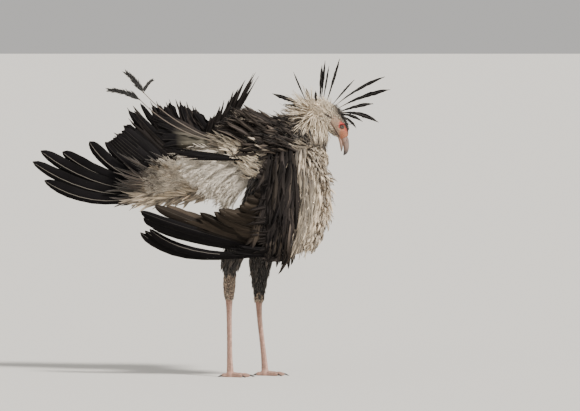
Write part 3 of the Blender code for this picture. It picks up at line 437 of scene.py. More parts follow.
def barb_group():
    """The vane's fine structure: slanting barbs, a shaft and paler worn edges."""
    group = bpy.data.node_groups.new("feather barbs", "ShaderNodeTree")
    for name, kind, value in (("Plume", "NodeSocketColor", None), ("Barbs", "NodeSocketFloat", 60.0),
                              ("Contrast", "NodeSocketFloat", 0.5), ("Edge", "NodeSocketFloat", 0.2),
                              ("Shaft", "NodeSocketFloat", 0.3)):
        socket = group.interface.new_socket(name, in_out="INPUT", socket_type=kind)
        if value is not None:
            socket.default_value = value
    group.interface.new_socket("Colour", in_out="OUTPUT", socket_type="NodeSocketColor")
    group.interface.new_socket("Height", in_out="OUTPUT", socket_type="NodeSocketFloat")
    nodes, links = group.nodes, group.links
    given = nodes.new("NodeGroupInput")
    result = nodes.new("NodeGroupOutput")

    def work(operation, first, second=None, third=None):
        node = nodes.new("ShaderNodeMath")
        node.operation = operation
        for socket, value in zip(node.inputs, (first, second, third)):
            if value is None:
                continue
            if isinstance(value, (int, float)):
                socket.default_value = value
            else:
                links.new(value, socket)
        return node.outputs[0]

    vane = nodes.new("ShaderNodeUVMap")
    vane.uv_map = "Vane"
    split = nodes.new("ShaderNodeSeparateXYZ")
    links.new(vane.outputs["UV"], split.inputs["Vector"])
    side = work("ABSOLUTE", work("MULTIPLY_ADD", split.outputs["X"], 2.0, -1.0))
    along = work("SUBTRACT", split.outputs["Y"], work("MULTIPLY", side, 0.16))
    barb_place = nodes.new("ShaderNodeCombineXYZ")
    links.new(work("MULTIPLY", along, given.outputs["Barbs"]), barb_place.inputs["X"])
    links.new(work("MULTIPLY", split.outputs["X"], 2.4), barb_place.inputs["Y"])
    place = nodes.new("ShaderNodeTexCoord")
    coarse = nodes.new("ShaderNodeVectorMath")
    coarse.operation = "MULTIPLY_ADD"
    coarse.inputs[1].default_value = (9.0, 9.0, 9.0)
    links.new(place.outputs["Object"], coarse.inputs[0])
    links.new(barb_place.outputs["Vector"], coarse.inputs[2])
    barbs = noise(group, coarse.outputs["Vector"], 1.0, 3.0)
    streak = work("MULTIPLY", work("SUBTRACT", barbs, 0.5), given.outputs["Contrast"])
    dust = noise(group, place.outputs["Object"], 26.0)
    mottled = work("MULTIPLY", work("SUBTRACT", dust, 0.5), 0.5)
    bright = work("ADD", 1.0, work("ADD", work("MULTIPLY", streak, 2.2), mottled))
    shaded = nodes.new("ShaderNodeVectorMath")
    shaded.operation = "SCALE"
    links.new(given.outputs["Plume"], shaded.inputs[0])
    links.new(bright, shaded.inputs["Scale"])
    colour = shaded.outputs["Vector"]
    worn = work("MULTIPLY", work("POWER", side, 5.0), given.outputs["Edge"])
    stem = work("MULTIPLY", work("LESS_THAN", side, 0.045), given.outputs["Shaft"])
    for amount, over in ((worn, (0.62, 0.58, 0.52, 1.0)), (stem, (0.60, 0.55, 0.48, 1.0))):
        mixed = nodes.new("ShaderNodeMix")
        mixed.data_type = "RGBA"
        mixed.inputs["B"].default_value = over
        links.new(amount, mixed.inputs["Factor"])
        links.new(colour, mixed.inputs["A"])
        colour = mixed.outputs["Result"]
    links.new(colour, result.inputs["Colour"])
    links.new(work("ADD", barbs, work("MULTIPLY", stem, 0.6)), result.inputs["Height"])
    return group


BARBS = barb_group()


def feather_material(name, barbs, contrast, edge, shaft, roughness, sheen, gloss):
    """A feather's finish: its own colour with barbs, worn edges and a soft or oily gloss."""
    made, nodes, links, shader = plain_material(name, GREY, roughness)
    shader.inputs["Sheen Weight"].default_value = sheen
    shader.inputs["Sheen Roughness"].default_value = 0.5
    shader.inputs["Specular IOR Level"].default_value = gloss
    plume = nodes.new("ShaderNodeVertexColor")
    plume.layer_name = "Plume"
    vane = nodes.new("ShaderNodeGroup")
    vane.node_tree = BARBS
    for socket, value in (("Barbs", barbs), ("Contrast", contrast), ("Edge", edge), ("Shaft", shaft)):
        vane.inputs[socket].default_value = value
    bump = nodes.new("ShaderNodeBump")
    bump.inputs["Distance"].default_value = 0.0008
    bump.inputs["Strength"].default_value = 0.6
    links.new(plume.outputs["Color"], vane.inputs["Plume"])
    links.new(vane.outputs["Colour"], shader.inputs["Base Color"])
    links.new(vane.outputs["Height"], bump.inputs["Height"])
    links.new(bump.outputs["Normal"], shader.inputs["Normal"])
    return made


SOFT_FEATHER = feather_material("soft contour feather", 26.0, 0.75, 0.30, 0.10, 0.9, 0.12, 0.3)
FLIGHT_FEATHER = feather_material("black flight feather", 90.0, 0.45, 0.015, 0.06, 0.75, 0.0, 0.06)
PRIMARY_FEATHER = feather_material("black primary feather", 110.0, 0.35, 0.01, 0.34, 0.75, 0.0, 0.06)
LOOSE_PLUME = feather_material("loose plume", 14.0, 0.5, 0.20, 0.0, 0.92, 0.15, 0.25)

LOCK = np.array(((0.0, 0.55), (0.25, 1.0), (0.52, 0.90), (0.78, 0.55), (1.0, 0.06)))
BODY_SPACING = 0.0078
share, degrees = spread_places(TRUNK, (0.03, 0.99), (0.0, 360.0), BODY_SPACING)
number = len(share)
place = form_point(TRUNK, share, degrees)
top = np.clip((place[:, 2] - 0.868) / 0.02, 0.0, 1.0)
rump = np.clip((0.235 - place[:, 0]) / 0.02, 0.0, 1.0)
breast = np.clip((place[:, 0] - 0.33) / 0.05, 0.0, 1.0) * (1 - top)
spots = chance.random(number) < 0.16
body_colour = blend(varied(GREY, number, 0.25), varied(SOOT, number, 0.4), top)
body_colour = blend(body_colour, varied(CREAM, number, 0.18), rump)
body_colour = blend(body_colour, varied(TAWNY, number, 0.35), breast)
body_colour = blend(body_colour, varied(BLACK, number, 0.2), spots * rump)
back_lean = np.where(np.cos(np.radians(degrees)) > 0, 0.25, -0.25)
root_shade = (0.42 + 0.42 * rump)[:, None]
coat("trunk_feathers", SOFT_FEATHER, TRUNK, 0, share, degrees, 0.046 - 0.012 * breast, 0.0125,
     0.009 + 0.004 * top - 0.006 * breast, back_lean,
     (body_colour * root_shade, body_colour, body_colour * 0.9), stops=(0.0, 0.5, 1.0),
     droop=1.5 * breast, outline=LOCK, cup=0.2, ragged=0.45,
     twist=chance.normal(0.0, 24.0, number), stray=0.22)

# Scapulars: the long black feathers of the shoulders and back, thrown up in disorder.
# Frayed vanes lie over the back with a few grey ones among them, and a thick tuft of
# raised ones stands up between the wings, ahead of the rump.
SCAPULAR = np.array(((0.0, 0.22), (0.15, 0.62), (0.35, 0.92), (0.58, 1.0), (0.78, 0.78), (0.92, 0.40),
                     (1.0, 0.06)))
share, degrees = spread_places(TRUNK, (0.33, 0.68), (26.0, 172.0), 0.0112)
number = len(share)
streaks = chance.random(number) < 0.07
scapular_colour = blend(varied(SOOT, number, 0.5), varied(BROWN, number, 0.4), chance.random(number) ** 4)
scapular_colour = blend(scapular_colour, varied(GREY, number, 0.3), streaks)
low_down = np.clip(np.abs(degrees - 90.0) / 60.0, 0.0, 1.0)
coat("scapulars", FLIGHT_FEATHER, TRUNK, 1, share, degrees, 0.070 + 0.020 * low_down, 0.0175,
     0.004 + 0.016 * low_down, np.where(np.cos(np.radians(degrees)) > 0, 0.1, -0.1),
     (scapular_colour * 1.3, scapular_colour), outline=SCAPULAR, cup=0.14, ragged=0.5,
     twist=chance.normal(0.0, 24.0, number), stray=0.24)
number = 150
share = chance.random(number)
across_back = chance.uniform(-0.068, 0.085, number)
raised_root = along_curve(((0.160, 0, 0.900), (0.200, 0, 0.925), (0.235, 0, 0.942), (0.285, 0, 0.955)),
                          share)
raised_bend = along_curve(((0.100, 0, 0.938), (0.140, 0, 0.972), (0.180, 0, 0.998), (0.244, 0, 0.984)),
                          share)
raised_tip = along_curve(((0.040, 0, 0.945), (0.082, 0, 0.985), (0.124, 0, 1.018), (0.196, 0, 0.984)), share)
raised_tip += chance.normal(0.0, 0.009, (number, 3))
for rows, fall in ((raised_root, 8.0), (raised_bend, 6.0), (raised_tip, 5.0)):
    rows[:, 1] = across_back
    rows[:, 2] -= fall * across_back ** 2
raised_face = unit(np.stack((0.2 + 0 * share, np.sign(across_back) * 0.8, 0.6 + 0 * share), axis=1))
raised_colour = blend(varied(SOOT, number, 0.5), varied(BROWN, number, 0.4), chance.random(number) ** 3)
raised_place = unwrap(1, 0.4 + 0.2 * share, 90.0 - 500.0 * across_back)
raised = blades("raised_scapulars", raised_root, raised_bend, raised_tip, raised_face,
                chance.uniform(0.014, 0.024, number), SCAPULAR, RIDGE,
                (varied(GREY, number, 0.3) * 0.6, raised_colour, raised_colour), raised_place, cup=0.14,
                ragged=0.55, twist=chance.normal(0.0, 28.0, number), stops=(0.0, 0.35, 1.0))
dressed(raised, FLIGHT_FEATHER)

# Vent plumes: long loose white down that fills the space under the tail and hangs from
# the rump. Each plume is a thin shaft with fine free barbs on both sides.
STRAND = np.array(((0.0, 0.8), (0.45, 1.0), (1.0, 0.12)))
WHITE = (0.86, 0.78, 0.67)


def between(start, middle, end, share):
    """Points and ways on bent paths, each from a start past a middle to an end."""
    point = start * (1 - share) ** 2 + middle * 2 * share * (1 - share) + end * share ** 2
    return point, unit((middle - start) * (1 - share) + (end - middle) * share)


def loose_plumes(name, root, bend, tip, face, barbs, spread, barb_length, thickness, colour, place):
    """Plumes of free barbs: each barb leaves the shaft sideways and sweeps to its tip."""
    count = len(root)
    face = np.broadcast_to(face, root.shape)
    colour = np.broadcast_to(colour, root.shape)
    share = np.sort(chance.uniform(0.06, 1.0, (count, barbs)), axis=1)[..., None]
    point, way = between(root[:, None], bend[:, None], tip[:, None], share)
    across = unit(np.cross(way, face[:, None]))
    normal = np.cross(across, way)
    side = np.where(np.arange(barbs) % 2 == 0, 1.0, -1.0)[None, :, None]
    reach = np.broadcast_to(barb_length, (count,))[:, None] * chance.uniform(0.6, 1.2, (count, barbs))
    reach = reach[..., None] * (1.05 - 0.45 * share)
    out = unit(way + across * side * spread * chance.uniform(0.3, 1.2, (count, barbs, 1))
               + normal * chance.normal(0.0, 0.22, (count, barbs, 1)))
    curl = unit(out + way * 0.8 + chance.normal(0.0, 0.12, (count, barbs, 3)))
    middle = point + out * reach * 0.5
    end = middle + curl * reach * 0.5
    tone = np.exp(chance.normal(0.0, 0.15, (count * barbs, 1)))
    barb_colour = np.concatenate((np.repeat(colour, barbs, axis=0) * tone, colour))
    point, middle, end, normal = (
        np.concatenate((every.reshape(-1, 3), own))
        for every, own in ((point, root), (middle, bend), (end, tip), (normal, face)))
    plumes = blades(name, point, middle, end, normal, thickness, STRAND, RIDGE,
                    (barb_colour * 0.85, barb_colour),
                    np.concatenate((np.repeat(place, barbs, axis=0), place)), thick=0.0005)
    return dressed(plumes, LOOSE_PLUME)


def hanging_plumes(name, number, roots, tips, reach, sag, colour, barbs, barb_length, tile):
    """Plumes from a line of roots to a line of tips, spread sideways over the body's width."""
    depth = chance.random(number)
    seat = chance.uniform(-1.0, 1.0, number)
    root = along_curve(roots, depth)
    tip = along_curve(tips, depth) + chance.normal(0.0, 0.016, (number, 3))
    bend = root * 0.5 + tip * 0.5 + np.array(sag)
    for rows, width in ((root, reach[0]), (bend, reach[1]), (tip, reach[2])):
        rows[:, 1] = seat * width
    face = unit(np.stack((0.3 + 0 * seat, np.where(seat > 0, 0.8, -0.8), 0.2 * seat), axis=1))
    return loose_plumes(name, root, bend, tip, face, barbs, 0.55, barb_length, 0.0021,
                        varied(colour, number, 0.09), unwrap(tile, 0.05 + 0.2 * depth, 270 + 60 * seat))


hanging_plumes("vent_plumes", 190, ((0.175, 0, 0.745), (0.140, 0, 0.795), (0.100, 0, 0.845)),
               ((0.070, 0, 0.655), (0.010, 0, 0.690), (-0.060, 0, 0.765)), (0.045, 0.064, 0.070),
               (-0.016, 0.0, 0.018), WHITE, 40, 0.032, 0)
hanging_plumes("under_tail_plumes", 150, ((0.120, 0, 0.820), (0.100, 0, 0.840), (0.060, 0, 0.862)),
               ((-0.030, 0, 0.740), (-0.075, 0, 0.790), (-0.110, 0, 0.830)), (0.024, 0.040, 0.050),
               (-0.008, 0.0, 0.010), WHITE, 34, 0.030, 3)

# Down: short loose plumes show everywhere between the raised feathers and soften their
# edges, black on the back, pale on the rump and grey-brown on the breast.


def downy(name, form, shares, degrees, spacing, tile, first, second, length, heading=-1.0):
    """Loose plumes scattered among the feathers of part of a form."""
    share, angle = spread_places(form, shares, degrees, spacing)
    count = len(share)
    point, outward, along = form_surface(form, share, angle)
    way = unit(along * heading + outward * 0.2 + chance.normal(0.0, 0.22, (count, 3)))
    reach = length * chance.uniform(0.7, 1.2, (count, 1))
    colour = blend(varied(first, count, 0.3), varied(second, count, 0.3), chance.random(count))
    return loose_plumes(name, point - outward * 0.002, point + way * reach * 0.5 + outward * 0.006,
                        point + way * reach + outward * 0.004, outward, 17, 0.6, 0.016, 0.0015, colour,
                        unwrap(tile, share, angle))


number = len(raised_root)
picked = chance.random(number) < 0.4
loose_plumes("raised_down", raised_root[picked], raised_bend[picked], raised_tip[picked],
             raised_face[picked], 20, 0.6, 0.024, 0.0017,
             blend(varied(SOOT, number, 0.4), varied(GREY, number, 0.4),
                   chance.random(number) < 0.35)[picked], raised_place[picked])
downy("back_down", TRUNK, (0.34, 0.66), (30.0, 165.0), 0.0165, 1, BLACK, SOOT, 0.075)
downy("rump_down", TRUNK, (0.03, 0.34), (20.0, 200.0), 0.0150, 0, CREAM, PALE, 0.050)
downy("breast_down", TRUNK, (0.66, 0.86), (95.0, 300.0), 0.0145, 0, TAWNY, GREY, 0.045)

# Right wing: it droops from the shoulder with its upper side out. The arm carries the
# dark secondaries under black coverts, and the hand trails the black primaries backwards
# in two bands, the lower ones with pale shafts. Each is a stiff vane rooted in the skin.
FLIGHT = np.array(((0.0, 0.20), (0.08, 0.45), (0.18, 0.66), (0.30, 0.82), (0.42, 0.92), (0.54, 0.98),
                   (0.66, 1.0), (0.76, 0.99), (0.85, 0.93), (0.92, 0.78), (0.97, 0.50), (1.0, 0.08)))
COVERT = np.array(((0.0, 0.30), (0.20, 0.75), (0.42, 0.96), (0.62, 1.0), (0.80, 0.80), (0.93, 0.42),
                   (1.0, 0.06)))
LANCE = np.array(((0.0, 0.35), (0.12, 0.70), (0.30, 0.95), (0.50, 1.0), (0.68, 0.80), (0.82, 0.52),
                  (0.93, 0.26), (1.0, 0.05)))
STIFF = np.array(((-1.0, 0.0), (-0.5, 0.7), (-0.07, 1.0), (0.0, 2.2), (0.07, 1.0), (0.5, 0.7), (1.0, 0.0),
                  (0.0, -1.0)))
SIDEWAYS = np.array((0.0, 1.0, 0.0))
RIGHT_BONE = ((0.338, -0.172, 0.532), (0.345, -0.160, 0.606), (0.340, -0.146, 0.690), (0.332, -0.126, 0.765),
              (0.325, -0.112, 0.810))


def wing_tier(name, look, tile, count, roots, bends, tips, widths, twist, colours, outline, uneven=0.0,
              shaken=0.0, tumbled=0.0, scatter=0.0, span=(0.0, 1.0), slot="flight_feathers", **more):
    """A tier of overlapping feathers from a line of roots to a line of tips."""
    share = np.linspace(span[0], span[1], count)
    start = along_curve(roots, share)
    tip = along_curve(tips, share)
    root = start + chance.uniform(-1.0, 1.0, (count, 3)) * scatter * np.array((1.0, 0.1, 1.0))
    bend = along_curve(bends, share)
    bend = bend + chance.normal(0.0, 1.0, (count, 3)) * shaken * np.array((1.0, 0.15, 1.0))
    bend += (root - start) * 0.6
    tip = start + (tip - start) * (1.0 + chance.uniform(-uneven, uneven, (count, 1)))
    tip += chance.normal(0.0, 1.0, (count, 3)) * shaken * np.array((1.5, 0.2, 1.5)) + (root - start) * 0.4
    width = widths[0] + (widths[1] - widths[0]) * share
    tones = [varied(colour, count, spread) for colour, spread in colours]
    feathers = blades(name, root, bend, tip, SIDEWAYS, width, outline, STIFF, tones,
                      unwrap(tile, share, 180.0 + 0 * share),
                      twist=twist + chance.normal(0.0, 1.0 + tumbled, count), **more)
    return dressed(feathers, look)


wing_tier(
    "right_lower_primaries", PRIMARY_FEATHER, 5, 3,
    ((0.214, -0.1652, 0.486), (0.232, -0.1670, 0.480), (0.248, -0.1685, 0.475)),
    ((-0.100, -0.138, 0.420), (-0.094, -0.140, 0.430), (-0.088, -0.142, 0.440)),
    ((-0.258, -0.080, 0.549), (-0.240, -0.084, 0.556), (-0.222, -0.088, 0.562)),
    (0.034, 0.036), -4.0, ((BLACK, 0.2), (BLACK, 0.2)), FLIGHT, cup=0.06, ragged=0.08, skew=0.25)
# The last three upper primaries are painted brown towards their ends, as painted light where the sun falls
# on the top of the band.
primary_painted_light_colour = blend(varied(BLACK, 7, 0.1), varied(UMBER, 7, 0.2), (np.arange(7) - 2.0) / 2.0)
wing_tier(
    "right_upper_primaries", FLIGHT_FEATHER, 5, 7,
    ((0.260, -0.1700, 0.474), (0.290, -0.1732, 0.474), (0.318, -0.1765, 0.486)),
    ((-0.100, -0.145, 0.528), (-0.130, -0.148, 0.556), (-0.060, -0.151, 0.588), (0.000, -0.156, 0.582),
     (0.060, -0.162, 0.566)),
    ((-0.222, -0.092, 0.586), (-0.246, -0.096, 0.604), (-0.256, -0.100, 0.630), (-0.202, -0.106, 0.652),
     (-0.158, -0.112, 0.650), (-0.095, -0.118, 0.628), (-0.045, -0.124, 0.614)),
    (0.036, 0.044), -4.0, ((BLACK, 0.2), (primary_painted_light_colour, 0.15)), FLIGHT, cup=0.06, ragged=0.08, skew=0.25)
wing_tier(
    "right_hand_coverts", FLIGHT_FEATHER, 5, 18,
    ((0.226, -0.170, 0.484), (0.275, -0.176, 0.473), (0.322, -0.180, 0.484)),
    ((0.150, -0.176, 0.465), (0.190, -0.181, 0.470), (0.235, -0.186, 0.478)),
    ((0.060, -0.172, 0.466), (0.084, -0.178, 0.484), (0.120, -0.184, 0.502)),
    (0.018, 0.024), -6.0, ((BLACK, 0.2), (BLACK, 0.3)), LANCE, cup=0.1, ragged=0.3, shaken=0.004,
    scatter=0.006)
wing_tier(
    "right_alula", FLIGHT_FEATHER, 5, 5,
    ((0.296, -0.179, 0.464), (0.312, -0.180, 0.468), (0.326, -0.180, 0.478)),
    ((0.255, -0.185, 0.448), (0.270, -0.187, 0.452), (0.288, -0.189, 0.458)),
    ((0.198, -0.183, 0.456), (0.222, -0.185, 0.448), (0.248, -0.187, 0.446)),
    (0.018, 0.024), -4.0, ((BLACK, 0.2), (SOOT, 0.3)), COVERT, cup=0.1, ragged=0.15)
# The lower secondaries, whose ends lie along the top of the primaries' band, are painted brown as painted
# light from above; the upper ones stay sooty.
height = np.linspace(0.0, 1.0, 17)
secondary_painted_light_colour = blend(varied(UMBER, 17, 0.25) * 0.6, varied(SOOT, 17, 0.3), (height - 0.45) * 4.0)
wing_tier(
    "right_secondaries", FLIGHT_FEATHER, 4, 17, RIGHT_BONE,
    ((0.190, -0.182, 0.512), (0.190, -0.176, 0.584), (0.215, -0.162, 0.668), (0.250, -0.142, 0.745),
     (0.262, -0.126, 0.805)),
    ((-0.034, -0.152, 0.606), (0.050, -0.156, 0.634), (0.129, -0.152, 0.664), (0.168, -0.144, 0.707),
     (0.190, -0.136, 0.755), (0.206, -0.126, 0.815)),
    (0.046, 0.040), -19.0, ((BLACK, 0.3), (secondary_painted_light_colour, 0.1), (secondary_painted_light_colour, 0.2)), FLIGHT,
    cup=0.08, ragged=0.2, shaken=0.005, tumbled=2.0, skew=0.2)
wing_tier(
    "right_great_coverts", FLIGHT_FEATHER, 4, 40,
    ((0.326, -0.176, 0.535), (0.330, -0.166, 0.606), (0.325, -0.152, 0.690), (0.315, -0.126, 0.785)),
    ((0.262, -0.188, 0.501), (0.274, -0.184, 0.575), (0.280, -0.168, 0.670), (0.286, -0.142, 0.775)),
    ((0.180, -0.184, 0.496), (0.170, -0.182, 0.560), (0.180, -0.170, 0.630), (0.212, -0.150, 0.725)),
    (0.024, 0.026), -16.0, ((BLACK, 0.2), (BLACK, 0.3), (SOOT, 0.4)), LANCE, cup=0.12, ragged=0.45,
    uneven=0.16, shaken=0.010, tumbled=6.0, scatter=0.016)

# The near side of the drooped wing: long ragged dark plumes fall from the shoulder past
# the elbow to the wing's lowest point, each tier over the roots of the next one below.
HANGING_TIERS = (
    ("lower", 40, ((0.322, -0.180, 0.600), (0.270, -0.180, 0.595), (0.205, -0.172, 0.600)),
     ((0.314, -0.190, 0.510), (0.262, -0.190, 0.510), (0.192, -0.184, 0.545)),
     ((0.294, -0.186, 0.432), (0.246, -0.186, 0.450), (0.160, -0.178, 0.520)), (BLACK, UMBER)),
    ("middle", 40, ((0.318, -0.170, 0.700), (0.272, -0.168, 0.696), (0.220, -0.154, 0.690)),
     ((0.314, -0.190, 0.600), (0.264, -0.190, 0.600), (0.204, -0.176, 0.606)),
     ((0.302, -0.190, 0.490), (0.250, -0.188, 0.498), (0.172, -0.178, 0.555)), (BLACK, SOOT)),
    ("upper", 44, ((0.308, -0.146, 0.805), (0.274, -0.142, 0.800), (0.236, -0.126, 0.780)),
     ((0.312, -0.180, 0.705), (0.266, -0.180, 0.700), (0.214, -0.158, 0.686)),
     ((0.304, -0.188, 0.585), (0.256, -0.188, 0.580), (0.186, -0.172, 0.610)), (BLACK, SOOT)),
    ("shoulder", 40, ((0.304, -0.114, 0.862), (0.270, -0.116, 0.856), (0.232, -0.104, 0.838)),
     ((0.308, -0.148, 0.796), (0.266, -0.148, 0.790), (0.214, -0.130, 0.772)),
     ((0.302, -0.164, 0.715), (0.254, -0.164, 0.706), (0.190, -0.146, 0.696)), (BLACK, SOOT)),
)
for tier_name, count, roots, bends, tips, (low, high) in HANGING_TIERS:
    streaked = blend(varied(high, count, 0.4), varied(BROWN, count, 0.3), chance.random(count) < 0.12)
    wing_tier("right_hanging_" + tier_name, FLIGHT_FEATHER, 4, count, roots, bends, tips, (0.030, 0.026),
              -20.0, ((low, 0.3), (streaked, 0.2), (low, 0.5)), SCAPULAR, cup=0.12, ragged=0.55, uneven=0.12,
              shaken=0.011, tumbled=9.0, scatter=0.022)

# Soft coverts over the front of the drooped arm: they hang down over one another, pale
# along the ragged front edge, then buff and drab, and dark behind.
share, degrees = spread_places(RIGHT_ARM, (0.04, 0.86), (55.0, 300.0), 0.0092)
number = len(share)
point, outward, along = form_surface(RIGHT_ARM, share, degrees)
front = np.clip(np.cos(np.radians(degrees - 90.0)) * 1.6, 0.0, 1.0)
pale = np.clip((point[:, 0] - 0.325) / 0.022 + chance.normal(0.0, 0.35, number), 0.0, 1.0)
tone = blend(varied(GREY, number, 0.35), varied(PALE, number, 0.3), chance.random(number) ** 0.7)
arm_colour = blend(varied(SOOT, number, 0.5), tone, pale)
way = unit(along + np.array((-0.12, 0.0, -0.25)) + chance.normal(0.0, 0.13, (number, 3)))
way = unit(way - outward * np.sum(way * outward, axis=1, keepdims=True) * 0.8)
length = (chance.uniform(0.055, 0.085, number) * (1.0 - 0.45 * front))[:, None]
lift = (chance.uniform(0.004, 0.022, number) * (0.6 + 0.9 * front))[:, None]
# Each covert is painted dark at its root, as painted shade under the coverts that lie over it.
arm_coverts = blades("right_arm_coverts", point - outward * 0.005,
                     point + way * length * 0.5 + outward * (lift + 0.003),
                     point + way * length + outward * lift * chance.uniform(0.2, 1.3, (number, 1)), outward,
                     chance.uniform(0.011, 0.018, number), LANCE, RIDGE,
                     (arm_colour * 0.35, arm_colour, arm_colour), unwrap(4, share, degrees),
                     stops=(0.0, 0.5, 1.0), cup=0.18, ragged=0.4, twist=chance.normal(0.0, 20.0, number))
dressed(arm_coverts, SOFT_FEATHER)
downy("right_arm_down", RIGHT_ARM, (0.05, 0.86), (40.0, 175.0), 0.0130, 4, TAWNY, GREY, 0.050, 1.0)
wing_tier(
    "right_front_coverts", SOFT_FEATHER, 4, 70,
    ((0.374, -0.166, 0.540), (0.410, -0.154, 0.636), (0.422, -0.142, 0.720), (0.405, -0.124, 0.806)),
    ((0.390, -0.182, 0.512), (0.436, -0.172, 0.606), (0.450, -0.162, 0.690), (0.438, -0.144, 0.780)),
    ((0.366, -0.186, 0.478), (0.426, -0.178, 0.566), (0.454, -0.170, 0.642), (0.446, -0.150, 0.740)),
    (0.014, 0.018), -16.0, ((BROWN, 0.3), (TAWNY, 0.35), (PALE, 0.5)), COVERT, cup=0.3, ragged=0.5,
    uneven=0.15, shaken=0.006, tumbled=18.0, scatter=0.008)
wing_tier(
    "right_drab_coverts", SOFT_FEATHER, 4, 64,
    ((0.346, -0.181, 0.585), (0.366, -0.175, 0.652), (0.374, -0.163, 0.730), (0.360, -0.141, 0.800)),
    ((0.334, -0.193, 0.520), (0.366, -0.190, 0.585), (0.380, -0.183, 0.670), (0.366, -0.161, 0.755)),
    ((0.316, -0.187, 0.455), (0.346, -0.188, 0.512), (0.368, -0.185, 0.600), (0.358, -0.170, 0.700)),
    (0.017, 0.020), -16.0, ((BROWN, 0.3), (DRAB, 0.5), (DRAB, 0.4)), LANCE, cup=0.2, ragged=0.5, uneven=0.15,
    shaken=0.009, tumbled=12.0, scatter=0.018)
wing_tier(
    "right_hem_coverts", SOFT_FEATHER, 4, 60,
    ((0.372, -0.180, 0.606), (0.396, -0.174, 0.652), (0.404, -0.162, 0.730), (0.386, -0.140, 0.806)),
    ((0.364, -0.193, 0.540), (0.396, -0.189, 0.592), (0.410, -0.181, 0.678), (0.392, -0.160, 0.764)),
    ((0.350, -0.187, 0.472), (0.380, -0.187, 0.530), (0.398, -0.183, 0.618), (0.382, -0.166, 0.714)),
    (0.014, 0.018), -16.0, ((GREY, 0.4), (TAWNY, 0.35), (PALE, 0.35)), LANCE, cup=0.2, ragged=0.5,
    uneven=0.15, shaken=0.009, tumbled=14.0, scatter=0.016)

# Left wing: stretched back past the tail, its underside towards -Y. Black primaries
# spread like fingers, the secondaries fan up behind the tail, and white lining and
# grey-brown under coverts hide their roots. Its upper side, at the back, is grey and black.
LEFT_PRIMARY_PATHS = (
    ((-0.216, 0.147, 0.690), (-0.160, 0.146, 0.703), (-0.092, 0.142, 0.718)),
    ((-0.4400, 0.160, 0.6120), (-0.4585, 0.160, 0.666), (-0.440, 0.159, 0.720), (-0.3955, 0.158, 0.755),
     (-0.3175, 0.155, 0.7835), (-0.2775, 0.153, 0.803), (-0.240, 0.151, 0.820), (-0.205, 0.149, 0.832)),
    ((-0.633, 0.186, 0.737), (-0.678, 0.188, 0.809), (-0.647, 0.188, 0.851), (-0.564, 0.183, 0.847),
     (-0.460, 0.175, 0.887), (-0.400, 0.168, 0.885), (-0.378, 0.163, 0.892), (-0.362, 0.159, 0.902),
     (-0.348, 0.156, 0.918), (-0.326, 0.153, 0.935)))
for tier_name, count, span, widths, look, ragged in (
        ("outer", 5, (0.0, 4 / 9), (0.050, 0.056), PRIMARY_FEATHER, 0.08),
        ("inner", 9, (5 / 9, 1.0), (0.046, 0.046), FLIGHT_FEATHER, 0.35)):
    wing_tier("left_" + tier_name + "_primaries", look, 7, count, *LEFT_PRIMARY_PATHS, widths, 8.0,
              ((BLACK, 0.2), (BLACK, 0.2)), FLIGHT, cup=-0.06, ragged=ragged, skew=-0.3, span=span)
LEFT_BONE = ((-0.052, 0.149, 0.729), (0.030, 0.142, 0.752), (0.110, 0.134, 0.776), (0.195, 0.126, 0.802))
LEFT_SECONDARY_BENDS = ((-0.210, 0.172, 0.815), (-0.150, 0.168, 0.870), (-0.050, 0.158, 0.900),
                        (0.080, 0.144, 0.890))
LEFT_SECONDARY_TIPS = ((-0.358, 0.184, 0.912), (-0.330, 0.180, 0.948), (-0.300, 0.176, 0.985),
                       (-0.277, 0.172, 1.015), (-0.220, 0.168, 1.026), (-0.185, 0.165, 1.024),
                       (-0.148, 0.162, 1.030), (-0.103, 0.159, 1.034), (-0.075, 0.156, 1.016),
                       (-0.050, 0.153, 1.004), (-0.028, 0.150, 0.986), (0.010, 0.147, 0.965),
                       (0.060, 0.142, 0.930))
wing_tier("left_secondaries", FLIGHT_FEATHER, 6, 19, LEFT_BONE, LEFT_SECONDARY_BENDS, LEFT_SECONDARY_TIPS,
          (0.044, 0.040), 12.0, ((BLACK, 0.2), (BLACK, 0.3)), FLIGHT, cup=-0.08, ragged=0.4,
          uneven=0.04, shaken=0.006, tumbled=6.0, skew=-0.15)
wing_tier("left_ragged_secondaries", FLIGHT_FEATHER, 6, 44, LEFT_BONE, LEFT_SECONDARY_BENDS,
          LEFT_SECONDARY_TIPS,
          (0.032, 0.028), 12.0, ((BLACK, 0.2), (SOOT, 0.4)), SCAPULAR, cup=-0.1, ragged=0.6,
          uneven=0.07, shaken=0.006, tumbled=16.0)
wing_tier(
    "left_tertials", FLIGHT_FEATHER, 6, 34,
    ((0.058, 0.112, 0.893), (0.034, 0.118, 0.884), (-0.006, 0.124, 0.872), (-0.038, 0.128, 0.862)),
    ((0.100, 0.106, 1.000), (0.076, 0.110, 0.990), (0.036, 0.116, 0.955), (0.000, 0.120, 0.930)),
    ((0.177, 0.092, 1.148), (0.150, 0.100, 1.112), (0.116, 0.104, 1.076), (0.080, 0.110, 1.048),
     (0.040, 0.114, 1.012), (0.004, 0.120, 0.982)),
    (0.022, 0.034), 8.0, ((BLACK, 0.3), (SOOT, 0.4)), LANCE, cup=0.1, ragged=0.75, uneven=0.04,
    shaken=0.006, tumbled=20.0)
wing_tier(
    "left_under_coverts", SOFT_FEATHER, 7, 44,
    ((-0.208, 0.140, 0.690), (-0.150, 0.137, 0.698), (-0.092, 0.134, 0.709), (-0.040, 0.130, 0.720)),
    ((-0.285, 0.136, 0.664), (-0.260, 0.132, 0.706), (-0.180, 0.130, 0.752), (-0.110, 0.126, 0.776)),
    ((-0.348, 0.146, 0.662), (-0.352, 0.142, 0.735), (-0.300, 0.138, 0.798), (-0.210, 0.134, 0.832)),
    (0.020, 0.024), 8.0, ((BROWN, 0.3), (BROWN, 0.6), (SOOT, 0.8)), LANCE, cup=-0.15, ragged=0.5,
    uneven=0.16, shaken=0.012, tumbled=14.0, scatter=0.012)
